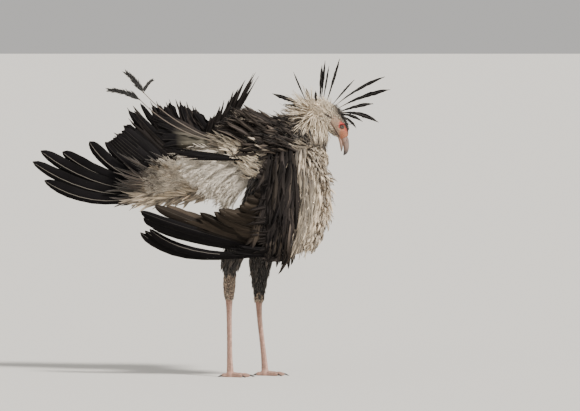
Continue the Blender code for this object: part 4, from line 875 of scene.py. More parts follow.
wing_tier(
    "left_small_under_coverts", SOFT_FEATHER, 7, 56,
    ((-0.190, 0.134, 0.686), (-0.120, 0.130, 0.694), (-0.050, 0.126, 0.704), (0.040, 0.122, 0.722)),
    ((-0.246, 0.124, 0.664), (-0.200, 0.120, 0.690), (-0.120, 0.116, 0.722), (-0.030, 0.112, 0.752)),
    ((-0.300, 0.128, 0.648), (-0.262, 0.124, 0.690), (-0.176, 0.120, 0.744), (-0.090, 0.116, 0.782)),
    (0.016, 0.020), 8.0, ((PALE, 0.25), (TAWNY, 0.4), (GREY, 0.6)), LANCE, cup=-0.2, ragged=0.5, uneven=0.2,
    shaken=0.014, tumbled=16.0, scatter=0.016)
number = 560
depth = chance.random(number) ** 1.35
row = chance.random(number)
lining_root = along_curve(((-0.175, 0.130, 0.706), (-0.100, 0.126, 0.716), (-0.020, 0.118, 0.732),
                           (0.080, 0.110, 0.752), (0.180, 0.098, 0.780)), depth)
lining_root[:, 2] += (0.095 - 0.020 * depth) * (row - 0.2)
lining_root[:, 1] -= 0.016 * row
lining_way = along_curve(((-0.95, 0.0, 0.25), (-0.9, 0.0, 0.60), (-0.8, -0.05, 0.75), (-0.9, -0.1, 0.45),
                          (-0.9, -0.1, 0.0)), depth)
lining_way = unit(lining_way + chance.normal(0.0, 0.24, (number, 3)))
lining_length = chance.uniform(0.045, 0.085, (number, 1))
lining_tip = lining_root + lining_way * lining_length + np.array((0.0, -0.014, -0.006))
lining_bend = (lining_root + lining_tip) * 0.5 + np.array((0.0, -0.014, 0.006))
browned = np.clip(1.4 * row + chance.normal(0.0, 0.3, number), 0.0, 1.0)
browned = np.clip((0.16 - depth) / 0.14, 0.0, 1.0) * browned
lining_colour = blend(varied((0.88, 0.78, 0.65), number, 0.12), varied(TAWNY, number, 0.35),
                      (chance.random(number) < 0.14) * (depth < 0.6))
lining_colour = blend(lining_colour, varied(BROWN, number, 0.4), browned)
loose_plumes("left_wing_lining", lining_root, lining_bend, lining_tip, -SIDEWAYS, 23, 0.6, 0.028,
             0.0026, lining_colour, unwrap(6, depth, 180 + 60 * row))
wing_tier(
    "left_upper_coverts", FLIGHT_FEATHER, 6, 40,
    ((-0.190, 0.154, 0.696), (-0.080, 0.156, 0.722), (0.030, 0.156, 0.756), (0.130, 0.148, 0.784),
     (0.220, 0.138, 0.812)),
    ((-0.280, 0.172, 0.700), (-0.200, 0.176, 0.760), (-0.090, 0.174, 0.816), (0.030, 0.166, 0.850),
     (0.130, 0.154, 0.860)),
    ((-0.380, 0.180, 0.720), (-0.300, 0.184, 0.812), (-0.180, 0.182, 0.880), (-0.050, 0.172, 0.910),
     (0.070, 0.158, 0.900)),
    (0.034, 0.034), 10.0, ((SOOT, 0.3), (SOOT, 0.4), (BROWN, 0.3)), COVERT, cup=0.1, ragged=0.3, uneven=0.1,
    shaken=0.006, tumbled=5.0)
share, degrees = spread_places(LEFT_ARM, (0.02, 1.0), (-115.0, 115.0), 0.0105)
number = len(share)
upper_colour = blend(varied(GREY, number, 0.3), varied(PALE, number, 0.2), chance.random(number))
coat("left_small_coverts", SOFT_FEATHER, LEFT_ARM, 6, share, degrees, 0.058, 0.018, 0.009, 0.0,
     (upper_colour * 0.4, upper_colour), cup=0.2, ragged=0.35, heading=1.0, droop=-0.3, outline=COVERT,
     twist=chance.normal(0.0, 16.0, number), stray=0.18, slot="flight_feathers")
wing_tier(
    "left_edge_coverts", SOFT_FEATHER, 7, 80,
    ((-0.215, 0.142, 0.690), (-0.150, 0.140, 0.690), (-0.040, 0.138, 0.702), (0.080, 0.128, 0.724),
     (0.215, 0.110, 0.766)),
    ((-0.262, 0.132, 0.664), (-0.190, 0.128, 0.660), (-0.070, 0.132, 0.674), (0.040, 0.118, 0.696),
     (0.170, 0.104, 0.748)),
    ((-0.330, 0.126, 0.650), (-0.236, 0.122, 0.640), (-0.120, 0.126, 0.650), (-0.010, 0.114, 0.682),
     (0.090, 0.104, 0.748)),
    (0.016, 0.020), 6.0, ((BROWN, 0.3), (GREY, 0.4), (PALE, 0.5)), LANCE, cup=0.25, ragged=0.5, uneven=0.2,
    shaken=0.010, tumbled=18.0)

# Tail: cocked up behind. Twelve grey feathers with black ends stand in a fan, under two
# long middle feathers that are worn down to bare shafts, with tufts left at their ends.
# A dark edge of narrow feathers runs below it, and cream and drab coverts hide the roots.
tail_colour = blend(varied((0.15, 0.135, 0.105), 12, 0.25), varied(SOOT, 12, 0.3), np.linspace(0.0, 1.6, 12))
wing_tier(
    "tail_feathers", FLIGHT_FEATHER, 3, 12, ((0.036, -0.0130, 0.879), (0.030, 0.0130, 0.893)),
    ((-0.070, -0.024, 0.886), (-0.085, 0.020, 0.944)),
    ((-0.156, -0.040, 0.868), (-0.186, -0.024, 0.914), (-0.204, -0.004, 0.948), (-0.222, 0.014, 0.980),
     (-0.200, 0.028, 1.000)),
    (0.036, 0.040), 4.0, ((tail_colour, 0.2), (tail_colour, 0.3), (BLACK, 0.2), (BLACK, 0.2)), FLIGHT,
    cup=0.08, ragged=0.45,
    uneven=0.06, shaken=0.005, tumbled=5.0, stops=(0.0, 0.58, 0.74, 1.0), slot="plumage")
wing_tier(
    "tail_dark_edge", FLIGHT_FEATHER, 3, 12,
    ((0.130, -0.068, 0.822), (0.126, -0.066, 0.826), (0.112, -0.062, 0.832)),
    ((0.000, -0.068, 0.824), (-0.010, -0.067, 0.832), (-0.020, -0.065, 0.840)),
    ((-0.070, -0.058, 0.836), (-0.120, -0.056, 0.846), (-0.190, -0.050, 0.866)),
    (0.011, 0.014), 6.0, ((BLACK, 0.3), (BLACK, 0.3)), SCAPULAR, cup=0.1, ragged=0.6, shaken=0.005,
    tumbled=10.0, slot="plumage")
long_root = np.array(((0.036, -0.014, 0.886), (0.036, -0.010, 0.893)))
long_bend = np.array(((-0.150, -0.034, 0.930), (-0.140, -0.022, 0.955)))
long_tip = np.array(((-0.266, -0.030, 1.056), (-0.252, -0.014, 1.083)))
ROUND = np.array(((-1.0, 0.0), (-0.6, 1.0), (0.6, 1.0), (1.0, 0.0), (0.6, -1.0), (-0.6, -1.0)))
SHAFT = np.stack((np.linspace(0, 1, 12), np.linspace(1.0, 0.6, 12)), axis=1)
long_shafts = blades("tail_long_shafts", long_root, long_bend, long_tip, SIDEWAYS, 0.0046, SHAFT, ROUND,
                     ((0.20, 0.17, 0.14), (0.16, 0.13, 0.11)),
                     unwrap(3, np.full(2, 0.9), np.array((80.0, 100.0))), thick=0.0018)
dressed(long_shafts, FLIGHT_FEATHER)
tuft_root = np.array(((-0.257, -0.030, 1.047), (-0.246, -0.014, 1.074), (-0.247, -0.014, 1.077)))
tuft_bend = np.array(((-0.300, -0.032, 1.080), (-0.272, -0.012, 1.116), (-0.236, -0.017, 1.110)))
tuft_tip = np.array(((-0.378, -0.036, 1.087), (-0.310, -0.010, 1.150), (-0.216, -0.020, 1.122)))
loose_plumes("tail_tufts", tuft_root, tuft_bend, tuft_tip, SIDEWAYS, 200, 0.55,
             np.array((0.032, 0.032, 0.018)), 0.0034, BLACK, unwrap(3, np.full(3, 0.95), np.full(3, 90.0)))
share, degrees = spread_places(TAIL, (0.0, 0.7), (0.0, 360.0), 0.0085)
number = len(share)
cover_colour = blend(varied(CREAM, number, 0.2), varied(DRAB, number, 0.35), share * 3.0 - 0.4)
coat("tail_coverts", SOFT_FEATHER, TAIL, 3, share, degrees, 0.064, 0.018, 0.010, 0.0,
     (cover_colour * 0.5, cover_colour), outline=LANCE, cup=0.15, ragged=0.4, heading=1.0, stray=0.2,
     twist=chance.normal(0.0, 16.0, number))

# Neck ruff: a dense coat of narrow pointed plumes round the short, drawn-in neck, cream
# above and grey-brown low down. They stand out most behind and lie flat in front.


def neck_colours(share, degrees, count):
    """Cream towards the head and grey-brown low down, which reaches higher behind."""
    behind = np.clip(np.sin(np.radians(degrees)), 0.0, 1.0)
    low = np.clip((0.40 + 0.36 * behind - share) / 0.07, 0.0, 1.0)
    mantle = blend(varied(BROWN, count, 0.5), varied(GREY, count, 0.3),
                   chance.random(count) + 0.3 * behind - 0.2)
    cream = blend(varied(CREAM, count, 0.12), varied(PALE, count, 0.2), chance.random(count) ** 2)
    return blend(cream, mantle, low + 0.35 * (chance.random(count) < 0.12))


share, degrees = spread_places(NECK, (0.04, 1.0), (0.0, 360.0), 0.0066)
number = len(share)
point, outward, along = form_surface(NECK, share, degrees)
rear = np.clip(np.sin(np.radians(degrees)) * 1.3 + 0.1, 0.0, 1.0)[:, None]
way = unit(-along * (1.0 - 0.62 * rear) + outward * (0.74 * rear - 0.02) + np.array((0.0, 0.0, 0.22)) * rear
           + chance.normal(0.0, 0.17, (number, 3)))
length = (0.034 + 0.032 * rear) * chance.uniform(0.75, 1.2, (number, 1))
ruff = blades("neck_ruff", point - outward * 0.005, point + way * length * 0.5 + outward * 0.004 * rear,
              point + way * length - along * 0.010, outward, chance.uniform(0.006, 0.011, number), LOCK,
              RIDGE, (neck_colours(share, degrees, number) * 0.8, neck_colours(share, degrees, number)),
              unwrap(2, share, degrees), cup=0.25, ragged=0.5, twist=chance.normal(0.0, 30.0, number))
dressed(ruff, SOFT_FEATHER)
picked = chance.random(number) < 0.06 + 0.22 * rear[:, 0]
count = int(picked.sum())
loose_plumes("neck_wisps", (point - outward * 0.003)[picked],
             (point + way * length * 0.55 + outward * 0.006)[picked],
             (point + way * length * 1.15 - along * 0.010)[picked], outward[picked], 16, 0.35, 0.020, 0.0017,
             neck_colours(share[picked], degrees[picked], count), unwrap(2, share[picked], degrees[picked]))

# Head feathers: dense, short and soft; cream on the nape and cheeks, and dark and
# bristly over the forehead down to the bill. They are smallest beside the bare face,
# where a dark line runs down from behind the eye.
EAR_LINE = np.array(((0.446, 0.991), (0.490, 0.966)))


def bump_of(distance, width):
    """A soft bump: 1 at no distance, and fading over the width."""
    return np.exp(-(distance / width) ** 2)


def near_line(spots, line):
    """How far spots lie from a bent line, and how far along it the nearest place is."""
    best = np.full(len(spots), 1.0)
    reached = np.zeros(len(spots))
    for number, (first, last) in enumerate(zip(line[:-1], line[1:])):
        step = last - first
        part = np.clip((spots - first) @ step / (step @ step), 0.0, 1.0)
        distance = np.linalg.norm(spots - first - part[:, None] * step, axis=1)
        closer = distance < best
        best = np.where(closer, distance, best)
        reached = np.where(closer, (number + part) / (len(line) - 1), reached)
    return best, reached


share, degrees = spread_places(HEAD, (0.0, 0.92), (0.0, 360.0), 0.0032)
crown = np.clip(np.sin(np.radians(degrees)) * 2.2 - 0.9, 0.0, 1.0)
under = np.clip(-np.sin(np.radians(degrees)) * 2.2 - 0.7, 0.0, 1.0)
reach = 0.60 + 0.30 * crown + 0.30 * under
kept = share < reach + chance.normal(0.0, 0.012, len(share))
share, degrees, crown, under = share[kept], degrees[kept], crown[kept], under[kept]
number = len(share)
head_length = (0.026 - 0.018 * np.clip(share * 1.5, 0.0, 1.0)) * (1.0 + 0.6 * under) + 0.002 * crown
head_length += 0.006 * crown * (share > 0.55) * chance.random(number)
dark = np.clip((share - 0.50) * 10.0, 0.0, 1.0) * crown
dark += np.clip((share - 0.5) * 6.0, 0.0, 1.0) * under * (chance.random(number) < 0.4)
head_colour = blend(varied(CREAM, number, 0.15), varied(PALE, number, 0.25), chance.random(number))
head_colour = blend(head_colour, varied(SOOT, number, 0.6),
                    dark * (0.75 + 0.4 * chance.random(number)) * 1.15)
from_ear_line = near_line(form_point(HEAD, share, degrees)[:, [0, 2]], EAR_LINE)[0]
head_colour = blend(head_colour, varied(SOOT, number, 0.3), 1.2 * bump_of(from_ear_line, 0.0036))
head_lift = (0.003 + 0.004 * (1 - share)) * (1.0 - 0.6 * crown)
coat("head_feathers", SOFT_FEATHER, HEAD, 8, share, degrees, head_length, 0.0052 - 0.0022 * share, head_lift,
     0.0, (head_colour * 0.6, head_colour), outline=LOCK, cup=0.25, ragged=0.4, sink=0.002, stray=0.22,
     twist=chance.normal(0.0, 20.0, number), thick=0.0005)
share, degrees = spread_places(HEAD, (0.0, 0.46), (10.0, 350.0), 0.0098)
number = len(share)
point, outward, along = form_surface(HEAD, share, degrees)
back = np.clip(np.sin(np.radians(degrees)) + 0.4, 0.0, 1.0)[:, None]
way = unit(-along * 0.7 + outward * (0.25 + 0.8 * back) + np.array((-0.10, 0.0, 0.30)) * back
           + chance.normal(0.0, 0.2, (number, 3)))
length = chance.uniform(0.018, 0.036, (number, 1))
nape = blades("nape_locks", point - outward * 0.003, point + way * length * 0.5 + outward * 0.004,
              point + way * length - along * 0.006, outward, 0.0044, LOCK, RIDGE,
              (varied(PALE, number, 0.2), varied(CREAM, number, 0.15)), unwrap(8, share, degrees), cup=0.25,
              ragged=0.5, twist=chance.normal(0.0, 30.0, number))
dressed(nape, SOFT_FEATHER)
share, degrees = spread_places(HEAD, (0.44, 0.80), (58.0, 122.0), 0.0052)
number = len(share)
point, outward, along = form_surface(HEAD, share, degrees)
way = unit(along * 0.7 + outward * 0.75 + np.array((0.25, 0.0, 0.1)) + chance.normal(0.0, 0.22, (number, 3)))
length = chance.uniform(0.010, 0.024, (number, 1))
bristle_colour = blend(varied(SOOT, number, 0.4), varied(BROWN, number, 0.3), chance.random(number) ** 2)
bristles = blades("forehead_bristles", point - outward * 0.002, point + way * length * 0.5,
                  point + way * length - outward * 0.003, outward, chance.uniform(0.0018, 0.0034, number),
                  LANCE,
                  RIDGE, (bristle_colour, bristle_colour), unwrap(8, share, degrees), cup=0.2, ragged=0.4,
                  twist=chance.normal(0.0, 40.0, number), thick=0.0004)
dressed(bristles, SOFT_FEATHER)
downy("head_down", HEAD, (0.04, 0.52), (140.0, 400.0), 0.0090, 8, CREAM, PALE, 0.020)

# Crest: long black feathers raised from the nape and crown, narrow in the shaft and
# broad near the tip, with loose barbs along the vane. Each has its root, bend and tip as
# x and z, its width and its lean.
CREST = (
    ((0.400, 1.020), (0.330, 1.040), (0.241, 1.073), 0.016, -0.012),
    ((0.398, 1.012), (0.344, 1.026), (0.285, 1.030), 0.012, 0.016),
    ((0.384, 1.012), (0.360, 1.060), (0.321, 1.155), 0.007, -0.020),
    ((0.395, 1.012), (0.382, 1.050), (0.369, 1.091), 0.013, 0.026),
    ((0.408, 1.020), (0.406, 1.048), (0.405, 1.082), 0.012, -0.030),
    ((0.418, 1.010), (0.424, 1.080), (0.429, 1.178), 0.013, -0.010),
    ((0.422, 1.010), (0.432, 1.090), (0.441, 1.195), 0.009, 0.014),
    ((0.428, 1.010), (0.440, 1.080), (0.456, 1.176), 0.008, 0.040),
    ((0.436, 1.005), (0.460, 1.080), (0.496, 1.205), 0.011, -0.026),
    ((0.447, 1.000), (0.490, 1.060), (0.551, 1.123), 0.009, 0.030),
    ((0.452, 1.000), (0.540, 1.090), (0.665, 1.136), 0.014, -0.014),
    ((0.455, 0.995), (0.560, 1.065), (0.683, 1.087), 0.019, 0.012),
    ((0.460, 0.985), (0.530, 1.026), (0.621, 1.035), 0.017, -0.030),
    ((0.468, 0.988), (0.540, 1.022), (0.641, 0.965), 0.019, 0.024),
    ((0.468, 0.982), (0.515, 1.012), (0.580, 0.969), 0.013, -0.034),
    ((0.474, 0.976), (0.520, 1.000), (0.559, 0.942), 0.013, 0.030),
)
CREST_FULLNESS = 1.05
CREST_PROFILE = np.array(((0.0, 0.16), (0.12, 0.14), (0.24, 0.20), (0.34, 0.34), (0.44, 0.52), (0.54, 0.72),
                          (0.63, 0.90), (0.72, 1.0), (0.80, 0.98), (0.87, 0.84), (0.93, 0.56), (1.0, 0.06)))
finer = np.linspace(0.0, 1.0, 26)
CREST_VANE = np.stack((finer, np.interp(finer, CREST_PROFILE[:, 0], CREST_PROFILE[:, 1])), axis=1)
number = len(CREST)
crest_paths = np.array([[(x, lean * side, z) for (x, z), side in zip((root, bend, tip), (0.3, 0.65, 1.6))]
                        for root, bend, tip, width, lean in CREST])
crest_width = np.array([row[3] for row in CREST]) * CREST_FULLNESS
crest_place = unwrap(8, np.linspace(0.1, 0.5, number), np.full(number, 90.0))
crest = blades("crest", crest_paths[:, 0], crest_paths[:, 1], crest_paths[:, 2], SIDEWAYS, crest_width,
               CREST_VANE, STIFF, (PALE, GREY, BLACK, BLACK), crest_place,
               twist=chance.normal(0.0, 22.0, number), cup=0.12, ragged=0.30, thick=0.0006,
               stops=(0.0, 0.18, 0.36, 1.0))
dressed(crest, FLIGHT_FEATHER)
vane_start = between(crest_paths[:, 0], crest_paths[:, 1], crest_paths[:, 2], 0.42)[0]
vane_bend = crest_paths[:, 1] * 0.58 + crest_paths[:, 2] * 0.42
loose_plumes("crest_barbs", vane_start, vane_bend, crest_paths[:, 2], SIDEWAYS, 90, 0.45,
             crest_width * 0.62, 0.0012, varied(SOOT, number, 0.3), crest_place)

# Trousers: soft black feathers that hang down both thighs and end in a cuff of locks.
# Each is a thin vane that grows from the thigh's form, under the belly's feathers.
for side_name, thigh, tile in (("right", RIGHT_THIGH, 9), ("left", LEFT_THIGH, 10)):
    share, degrees = spread_places(thigh, (0.02, 0.985), (0.0, 360.0), 0.0085)
    number = len(share)
    trouser_colour = blend(varied(BLACK, number, 0.3), varied(BROWN, number, 0.3),
                           chance.random(number) ** 3)
    coat("trousers_" + side_name, SOFT_FEATHER, thigh, tile, share, degrees, 0.046 - 0.014 * share,
         0.015 - 0.006 * share, 0.006, 0.0, (trouser_colour, trouser_colour), heading=1.0, cup=0.2,
         ragged=0.4, stray=0.18, sink=0.004, outline=LANCE, twist=chance.normal(0.0, 18.0, number),
         slot="flight_feathers")

# Markings: the skin takes the colours of the feathers that grow nearest, so that it is
# dark under the black plumage, cream on the neck and rump, and no pale gap shows through.
feather_root = np.concatenate([roots for roots, colours in rooted])
feather_colour = np.concatenate([colours for roots, colours in rooted])
tree = kdtree.KDTree(len(feather_root))
for index, spot in enumerate(feather_root):
    tree.insert(spot, index)
tree.balance()
marking = np.ones((len(skin.data.vertices), 4))
# Each skin point is painted 0.6 times the mean colour of the five nearest feathers: their colour, darkened
# as painted shade in the gaps between them.
for vertex in skin.data.vertices:
    nearest = [index for spot, index, distance in tree.find_n(vertex.co, 5)]
    marking[vertex.index, :3] = feather_colour[nearest].mean(axis=0) * 0.6
layer = skin.data.color_attributes.new("Marking", "FLOAT_COLOR", "POINT")
layer.data.foreach_set("color", marking.astype(np.float32).reshape(-1))

# The bare face: warm wrinkled skin round the eye and down to the bill, red over the
# brow and pale behind the eye. It is finer than the rest of the skin, hugs the skull,
# and carries the brow's shelf, the folds below the eye and the mouth's corner.
EYE = np.array((0.5060, 0.0205, 0.9470))
EYE_RADIUS = 0.0088
LID_SQUASH = 0.86
BROW_RED = (0.46, 0.035, 0.030)
FACE_ORANGE = (0.50, 0.190, 0.100)
FACE_PINK = (0.40, 0.275, 0.195)
FACE_DARK = (0.055, 0.035, 0.032)


def grid_mesh(name, points, rows, columns):
    """A smooth surface through a grid of points whose rows go round, its two ends filled."""
    faces = []
    for row in range(rows - 1):
        for column in range(columns):
            after = (column + 1) % columns
            low = row * columns
            faces.append((low + column, low + after, low + columns + after, low + columns + column))
    faces.append(tuple(range(columns))[::-1])
    faces.append(tuple((rows - 1) * columns + column for column in range(columns)))
    mesh = bpy.data.meshes.new(name)
    mesh.from_pydata(points.reshape(-1, 3).tolist(), [], faces)
    work = bmesh.new()
    work.from_mesh(mesh)
    bmesh.ops.recalc_face_normals(work, faces=work.faces)
    work.to_mesh(mesh)
    work.free()
    mesh.shade_smooth()
    return new_object(name, mesh)


def tint(piece, name, colours):
    """Paint a colour on each corner point of a mesh, for its material to read."""
    layer = piece.data.color_attributes.new(name, "FLOAT_COLOR", "POINT")
    rows = np.ones((len(colours), 4))
    rows[:, :3] = colours
    layer.data.foreach_set("color", rows.astype(np.float32).reshape(-1))


FACE_ROWS, FACE_COLUMNS = 170, 250
GAPE = np.array(((0.4600, 0.9665), (0.4740, 0.9435), (0.4883, 0.9200), (0.4985, 0.9010)))
share = np.repeat(np.linspace(0.46, 1.0, FACE_ROWS), FACE_COLUMNS)
degrees = np.tile(np.arange(FACE_COLUMNS) * 360.0 / FACE_COLUMNS, FACE_ROWS)
point, outward, along = form_surface(HEAD, share, degrees)
ahead = point[:, 0] - EYE[0]
above = point[:, 2] - EYE[2]
ring = np.hypot(ahead, above / LID_SQUASH)
upward = np.sin(np.radians(degrees))
sideways = np.abs(np.cos(np.radians(degrees)))
brow_line = above - 0.0115 - 0.10 * ahead + 9.0 * ahead ** 2
brow = bump_of(brow_line, 0.0030) * bump_of(ahead + 0.003, 0.017) * sideways ** 0.5
socket = bump_of(ring - 0.0125, 0.0030)
turn = np.arctan2(above, ahead)
wrinkles = 0.5 + 0.5 * np.sin(ring * 1900.0 + 2.4 * np.sin(turn * 5.0 + share * 9.0)
                              + 1.7 * np.sin(turn * 13.0 + ring * 420.0)
                              + 1.3 * np.sin(turn * 29.0 - ring * 900.0))
creases = np.clip(np.sin(turn * 31.0 + 2.2 * np.sin(ring * 700.0)) - 0.3, 0.0, 1.0)
fold_zone = np.clip((ring - 0.0125) / 0.004, 0.0, 1.0) * sideways
gape_distance, gape_reached = near_line(point[:, [0, 2]], GAPE)
beside = np.clip((sideways - 0.3) / 0.2, 0.0, 1.0)
gape = bump_of(gape_distance, 0.0018 + 0.0013 * gape_reached) * beside * (0.7 + 0.3 * gape_reached)
lip = bump_of(gape_distance - 0.0034, 0.0018) * beside * gape_reached
out = 0.0006 + 0.0040 * brow - 0.0014 * socket + fold_zone * (0.0006 * (wrinkles - 0.5) - 0.0006 * creases)
out += 0.0009 * lip - 0.0018 * gape - 0.009 * np.clip((0.0092 - ring) / 0.0015, 0.0, 1.0)
hind_sink = np.clip((0.52 - share) / 0.06, 0.0, 1.0)
face_point = point + outward * (out - 0.004 * hind_sink)[:, None]
face = grid_mesh("face", face_point, FACE_ROWS, FACE_COLUMNS)
behind = np.clip((-ahead - 0.004) / 0.010, 0.0, 1.0)
on_crown = np.clip(upward * 2.2 - 0.9, 0.0, 1.0)
reddened = (1.5 * bump_of(above - 0.013, 0.0060) * bump_of(ahead - 0.001, 0.012)
            + 0.9 * bump_of(ring - 0.0115, 0.0035) * (above > -0.004)
            + 1.1 * bump_of(above + 0.002, 0.0130) * bump_of(ahead - 0.013, 0.0055))
feathered = np.clip((0.61 + 0.30 * on_crown - share) / 0.03, 0.0, 1.0)
dark_front = np.clip((upward - 0.80) / 0.10, 0.0, 1.0) * (share < 0.97)
# Along the gape the skin is painted dark, as painted shade in the mouth's groove.
darkened = gape * 1.3 + 0.6 * bump_of(ring - 0.0098, 0.0014) + 0.9 * dark_front + feathered * on_crown
face_colour = blend(FACE_ORANGE, FACE_PINK, behind)
# The face is painted darker in the hollows of the wrinkles and in the creases, as painted shade in the
# folds.
face_colour = face_colour * (1.0 - 0.26 * fold_zone * (1.0 - wrinkles) - 0.22 * fold_zone * creases)[:, None]
tint(face, "Tint", blend(blend(face_colour, BROW_RED, reddened), FACE_DARK, darkened))


def bare_skin_material(name, grain_scale, grain_depth, roughness):
    """Bare skin: its painted colour in fine blotches, pimpled, and a little wet."""
    made, nodes, links, shader = plain_material(name, FACE_ORANGE, roughness)
    shader.inputs["Subsurface Weight"].default_value = 0.15
    shader.inputs["Subsurface Radius"].default_value = (0.004, 0.0015, 0.0008)
    shader.inputs["Subsurface Scale"].default_value = 1.0
    place = nodes.new("ShaderNodeTexCoord").outputs["Object"]
    cells = nodes.new("ShaderNodeTexVoronoi")
    cells.feature = "DISTANCE_TO_EDGE"
    cells.inputs["Scale"].default_value = grain_scale
    links.new(place, cells.inputs["Vector"])
    blotches = noise(made.node_tree, place, 240.0, 4.0)
    painted(made, "Tint", blotches, 0.55, 1.45, cells.outputs["Distance"], grain_depth)
    return made


dressed(face, bare_skin_material("bare face skin", 900.0, 0.0008, 0.5))
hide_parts("head")

# Eyes: a wet brown eye on each side under a heavy upper lid, with a thin lower lid.
# The lids are folded rims of skin that hug the ball, with stiff black lashes above.
LID_COLUMNS, LID_ROWS = 72, 9
LASHES = 15


def eye_ball(name, side):
    """A ball with a bulge before the iris, painted with how far each point is from the gaze."""
    gaze = unit(np.array((0.10, side, -0.02)))
    up = unit(np.array((0.0, 0.0, 1.0)) - gaze * gaze[2])
    left = np.cross(up, gaze)
    rows, columns = 40, 48
    polar = np.repeat(np.linspace(0.02, math.pi - 0.02, rows), columns)
    turn = np.tile(np.arange(columns) * math.tau / columns, rows)
    radius = EYE_RADIUS * (1.0 + 0.035 * bump_of(polar, 0.5))
    points = (gaze * np.cos(polar)[:, None] + (left * np.cos(turn)[:, None] + up * np.sin(turn)[:, None])
              * np.sin(polar)[:, None]) * radius[:, None] + EYE * (1, side, 1)
    ball = grid_mesh(name, points, rows, columns)
    share = np.clip(polar / 1.15, 0.0, 1.0)
    tint(ball, "Iris", np.repeat(share[:, None], 3, axis=1))
    return ball


def eye_material():
    """A wet eye: rings of black, amber and dark brown out from the pupil."""
    made, nodes, links, shader = plain_material("wet brown eye", (0.1, 0.05, 0.02), 0.12)
    shader.inputs["Coat Weight"].default_value = 1.0
    shader.inputs["Coat Roughness"].default_value = 0.02
    painted = nodes.new("ShaderNodeVertexColor")
    painted.layer_name = "Iris"
    split = nodes.new("ShaderNodeSeparateColor")
    bands = nodes.new("ShaderNodeValToRGB")
    ramp = bands.color_ramp
    ramp.elements[0].color = (0.002, 0.002, 0.002, 1.0)
    ramp.elements[0].position = 0.30
    ramp.elements[1].color = (0.010, 0.008, 0.007, 1.0)
    ramp.elements[1].position = 0.86
    for position, colour in ((0.36, (0.10, 0.070, 0.040)), (0.58, (0.17, 0.130, 0.080)),
                             (0.72, (0.040, 0.026, 0.018))):
        ramp.elements.new(position).color = (*colour, 1.0)
    links.new(painted.outputs["Color"], split.inputs["Color"])
    links.new(split.outputs["Red"], bands.inputs["Fac"])
    links.new(bands.outputs["Color"], shader.inputs["Base Color"])
    return made


EYE_LOOK = eye_material()
LID_SKIN = bare_skin_material("eyelid skin", 1500.0, 0.0004, 0.45)
for side_name, side in (("right", -1.0), ("left", 1.0)):
    ball = dressed(eye_ball("eye_" + side_name, side), EYE_LOOK)
    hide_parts("eye_" + side_name)
    turn = np.arange(LID_COLUMNS) * math.tau / LID_COLUMNS
    across_lid = np.linspace(0.0, 1.0, LID_ROWS)
    opening = np.where(np.sin(turn) > 0.0, 0.0054, 0.0060)
    inner = np.stack((np.cos(turn) * 0.0068, np.sin(turn) * opening), axis=1)
    outer = np.stack((np.cos(turn) * 0.0118, np.sin(turn) * 0.0106), axis=1)
    rim = []
    for step in across_lid:
        flat_rim = inner * (1 - step) + outer * step
        reach = np.hypot(flat_rim[:, 0], flat_rim[:, 1])
        on_ball = np.sqrt(np.maximum(EYE_RADIUS ** 2 - np.minimum(reach, EYE_RADIUS * 0.98) ** 2, 0.0))
        upper = np.clip(np.sin(turn), 0.0, 1.0)
        fold = 0.0011 + 0.0012 * np.sin(math.pi * min(step * 1.6, 1.0)) * (0.5 + 0.9 * upper)
        fold += 0.0005 * np.sin(step * 19.0) * (step > 0.3)
        depth = np.maximum(on_ball, 0.0052 - 0.006 * step) + fold * (1.0 - 0.75 * step)
        rim.append(np.stack((EYE[0] + flat_rim[:, 0], side * (EYE[1] + depth), EYE[2] + flat_rim[:, 1]),
                            axis=1))
    under = [row - np.array((0.0, side * 0.0022, 0.0)) for row in rim[::-1]]
    lid = grid_mesh("lids_" + side_name, np.array(rim + under), 2 * LID_ROWS, LID_COLUMNS)
    red = np.clip(np.tile(np.sin(turn) + 0.35, 2 * LID_ROWS), 0.0, 1.0)
    dark = np.repeat(np.concatenate((bump_of(across_lid, 0.62), bump_of(across_lid[::-1], 0.62))),
                     LID_COLUMNS)
    tint(lid, "Tint", blend(blend(FACE_ORANGE, BROW_RED, red), FACE_DARK, dark))
    dressed(lid, LID_SKIN)
    reach = np.linspace(-1.0, 1.0, LASHES)
    lash_root = np.stack((EYE[0] + reach * 0.0085, side * (EYE[1] + 0.0085 - 0.003 * reach ** 2),
                          EYE[2] + 0.0070 - 0.0025 * reach ** 2), axis=1)
    lash_tip = lash_root + np.stack((0.004 + reach * 0.003, side * (0.010 + 0 * reach), 0.0045 + 0 * reach),
                                    axis=1)
    lashes = blades("lashes_" + side_name, lash_root,
                    (lash_root + lash_tip) * 0.5 + np.array((0.0, 0.0, -0.0015)),
                    lash_tip, np.array((1.0, 0.0, 0.3)), 0.0005,
                    np.array(((0.0, 1.0), (0.5, 0.8), (1.0, 0.15))),
                    RIDGE, (BLACK, BLACK), unwrap(8, 0.7 + 0 * reach, 90.0 + 0 * reach), thick=0.0003)
    dressed(lashes, FLIGHT_FEATHER)

# Bill: a hooked upper half over a shorter lower half, of smooth grey horn that is
# pinker at its base, where the soft skin over it holds a slit nostril on each side.
UPPER_BILL = ((0.506, 0.0, 0.918, 0.012, 0.011), (0.516, 0.0, 0.898, 0.0125, 0.0125),
              (0.520, 0.0, 0.880, 0.011, 0.0115), (0.521, 0.0, 0.864, 0.0085, 0.0095),
              (0.518, 0.0, 0.850, 0.0055, 0.0070), (0.511, 0.0, 0.8395, 0.0012, 0.0015))
LOWER_BILL = ((0.494, 0.0, 0.914, 0.012, 0.007), (0.4995, 0.0, 0.895, 0.011, 0.0065),
              (0.5025, 0.0, 0.880, 0.009, 0.006), (0.5035, 0.0, 0.866, 0.006, 0.0045),
              (0.5025, 0.0, 0.853, 0.0012, 0.0012))
NOSTRIL = np.array((0.5225, 0.0122, 0.8955))
HORN_GREY = (0.070, 0.068, 0.072)
HORN_DARK = (0.022, 0.021, 0.024)
HORN_PINK = (0.38, 0.235, 0.18)


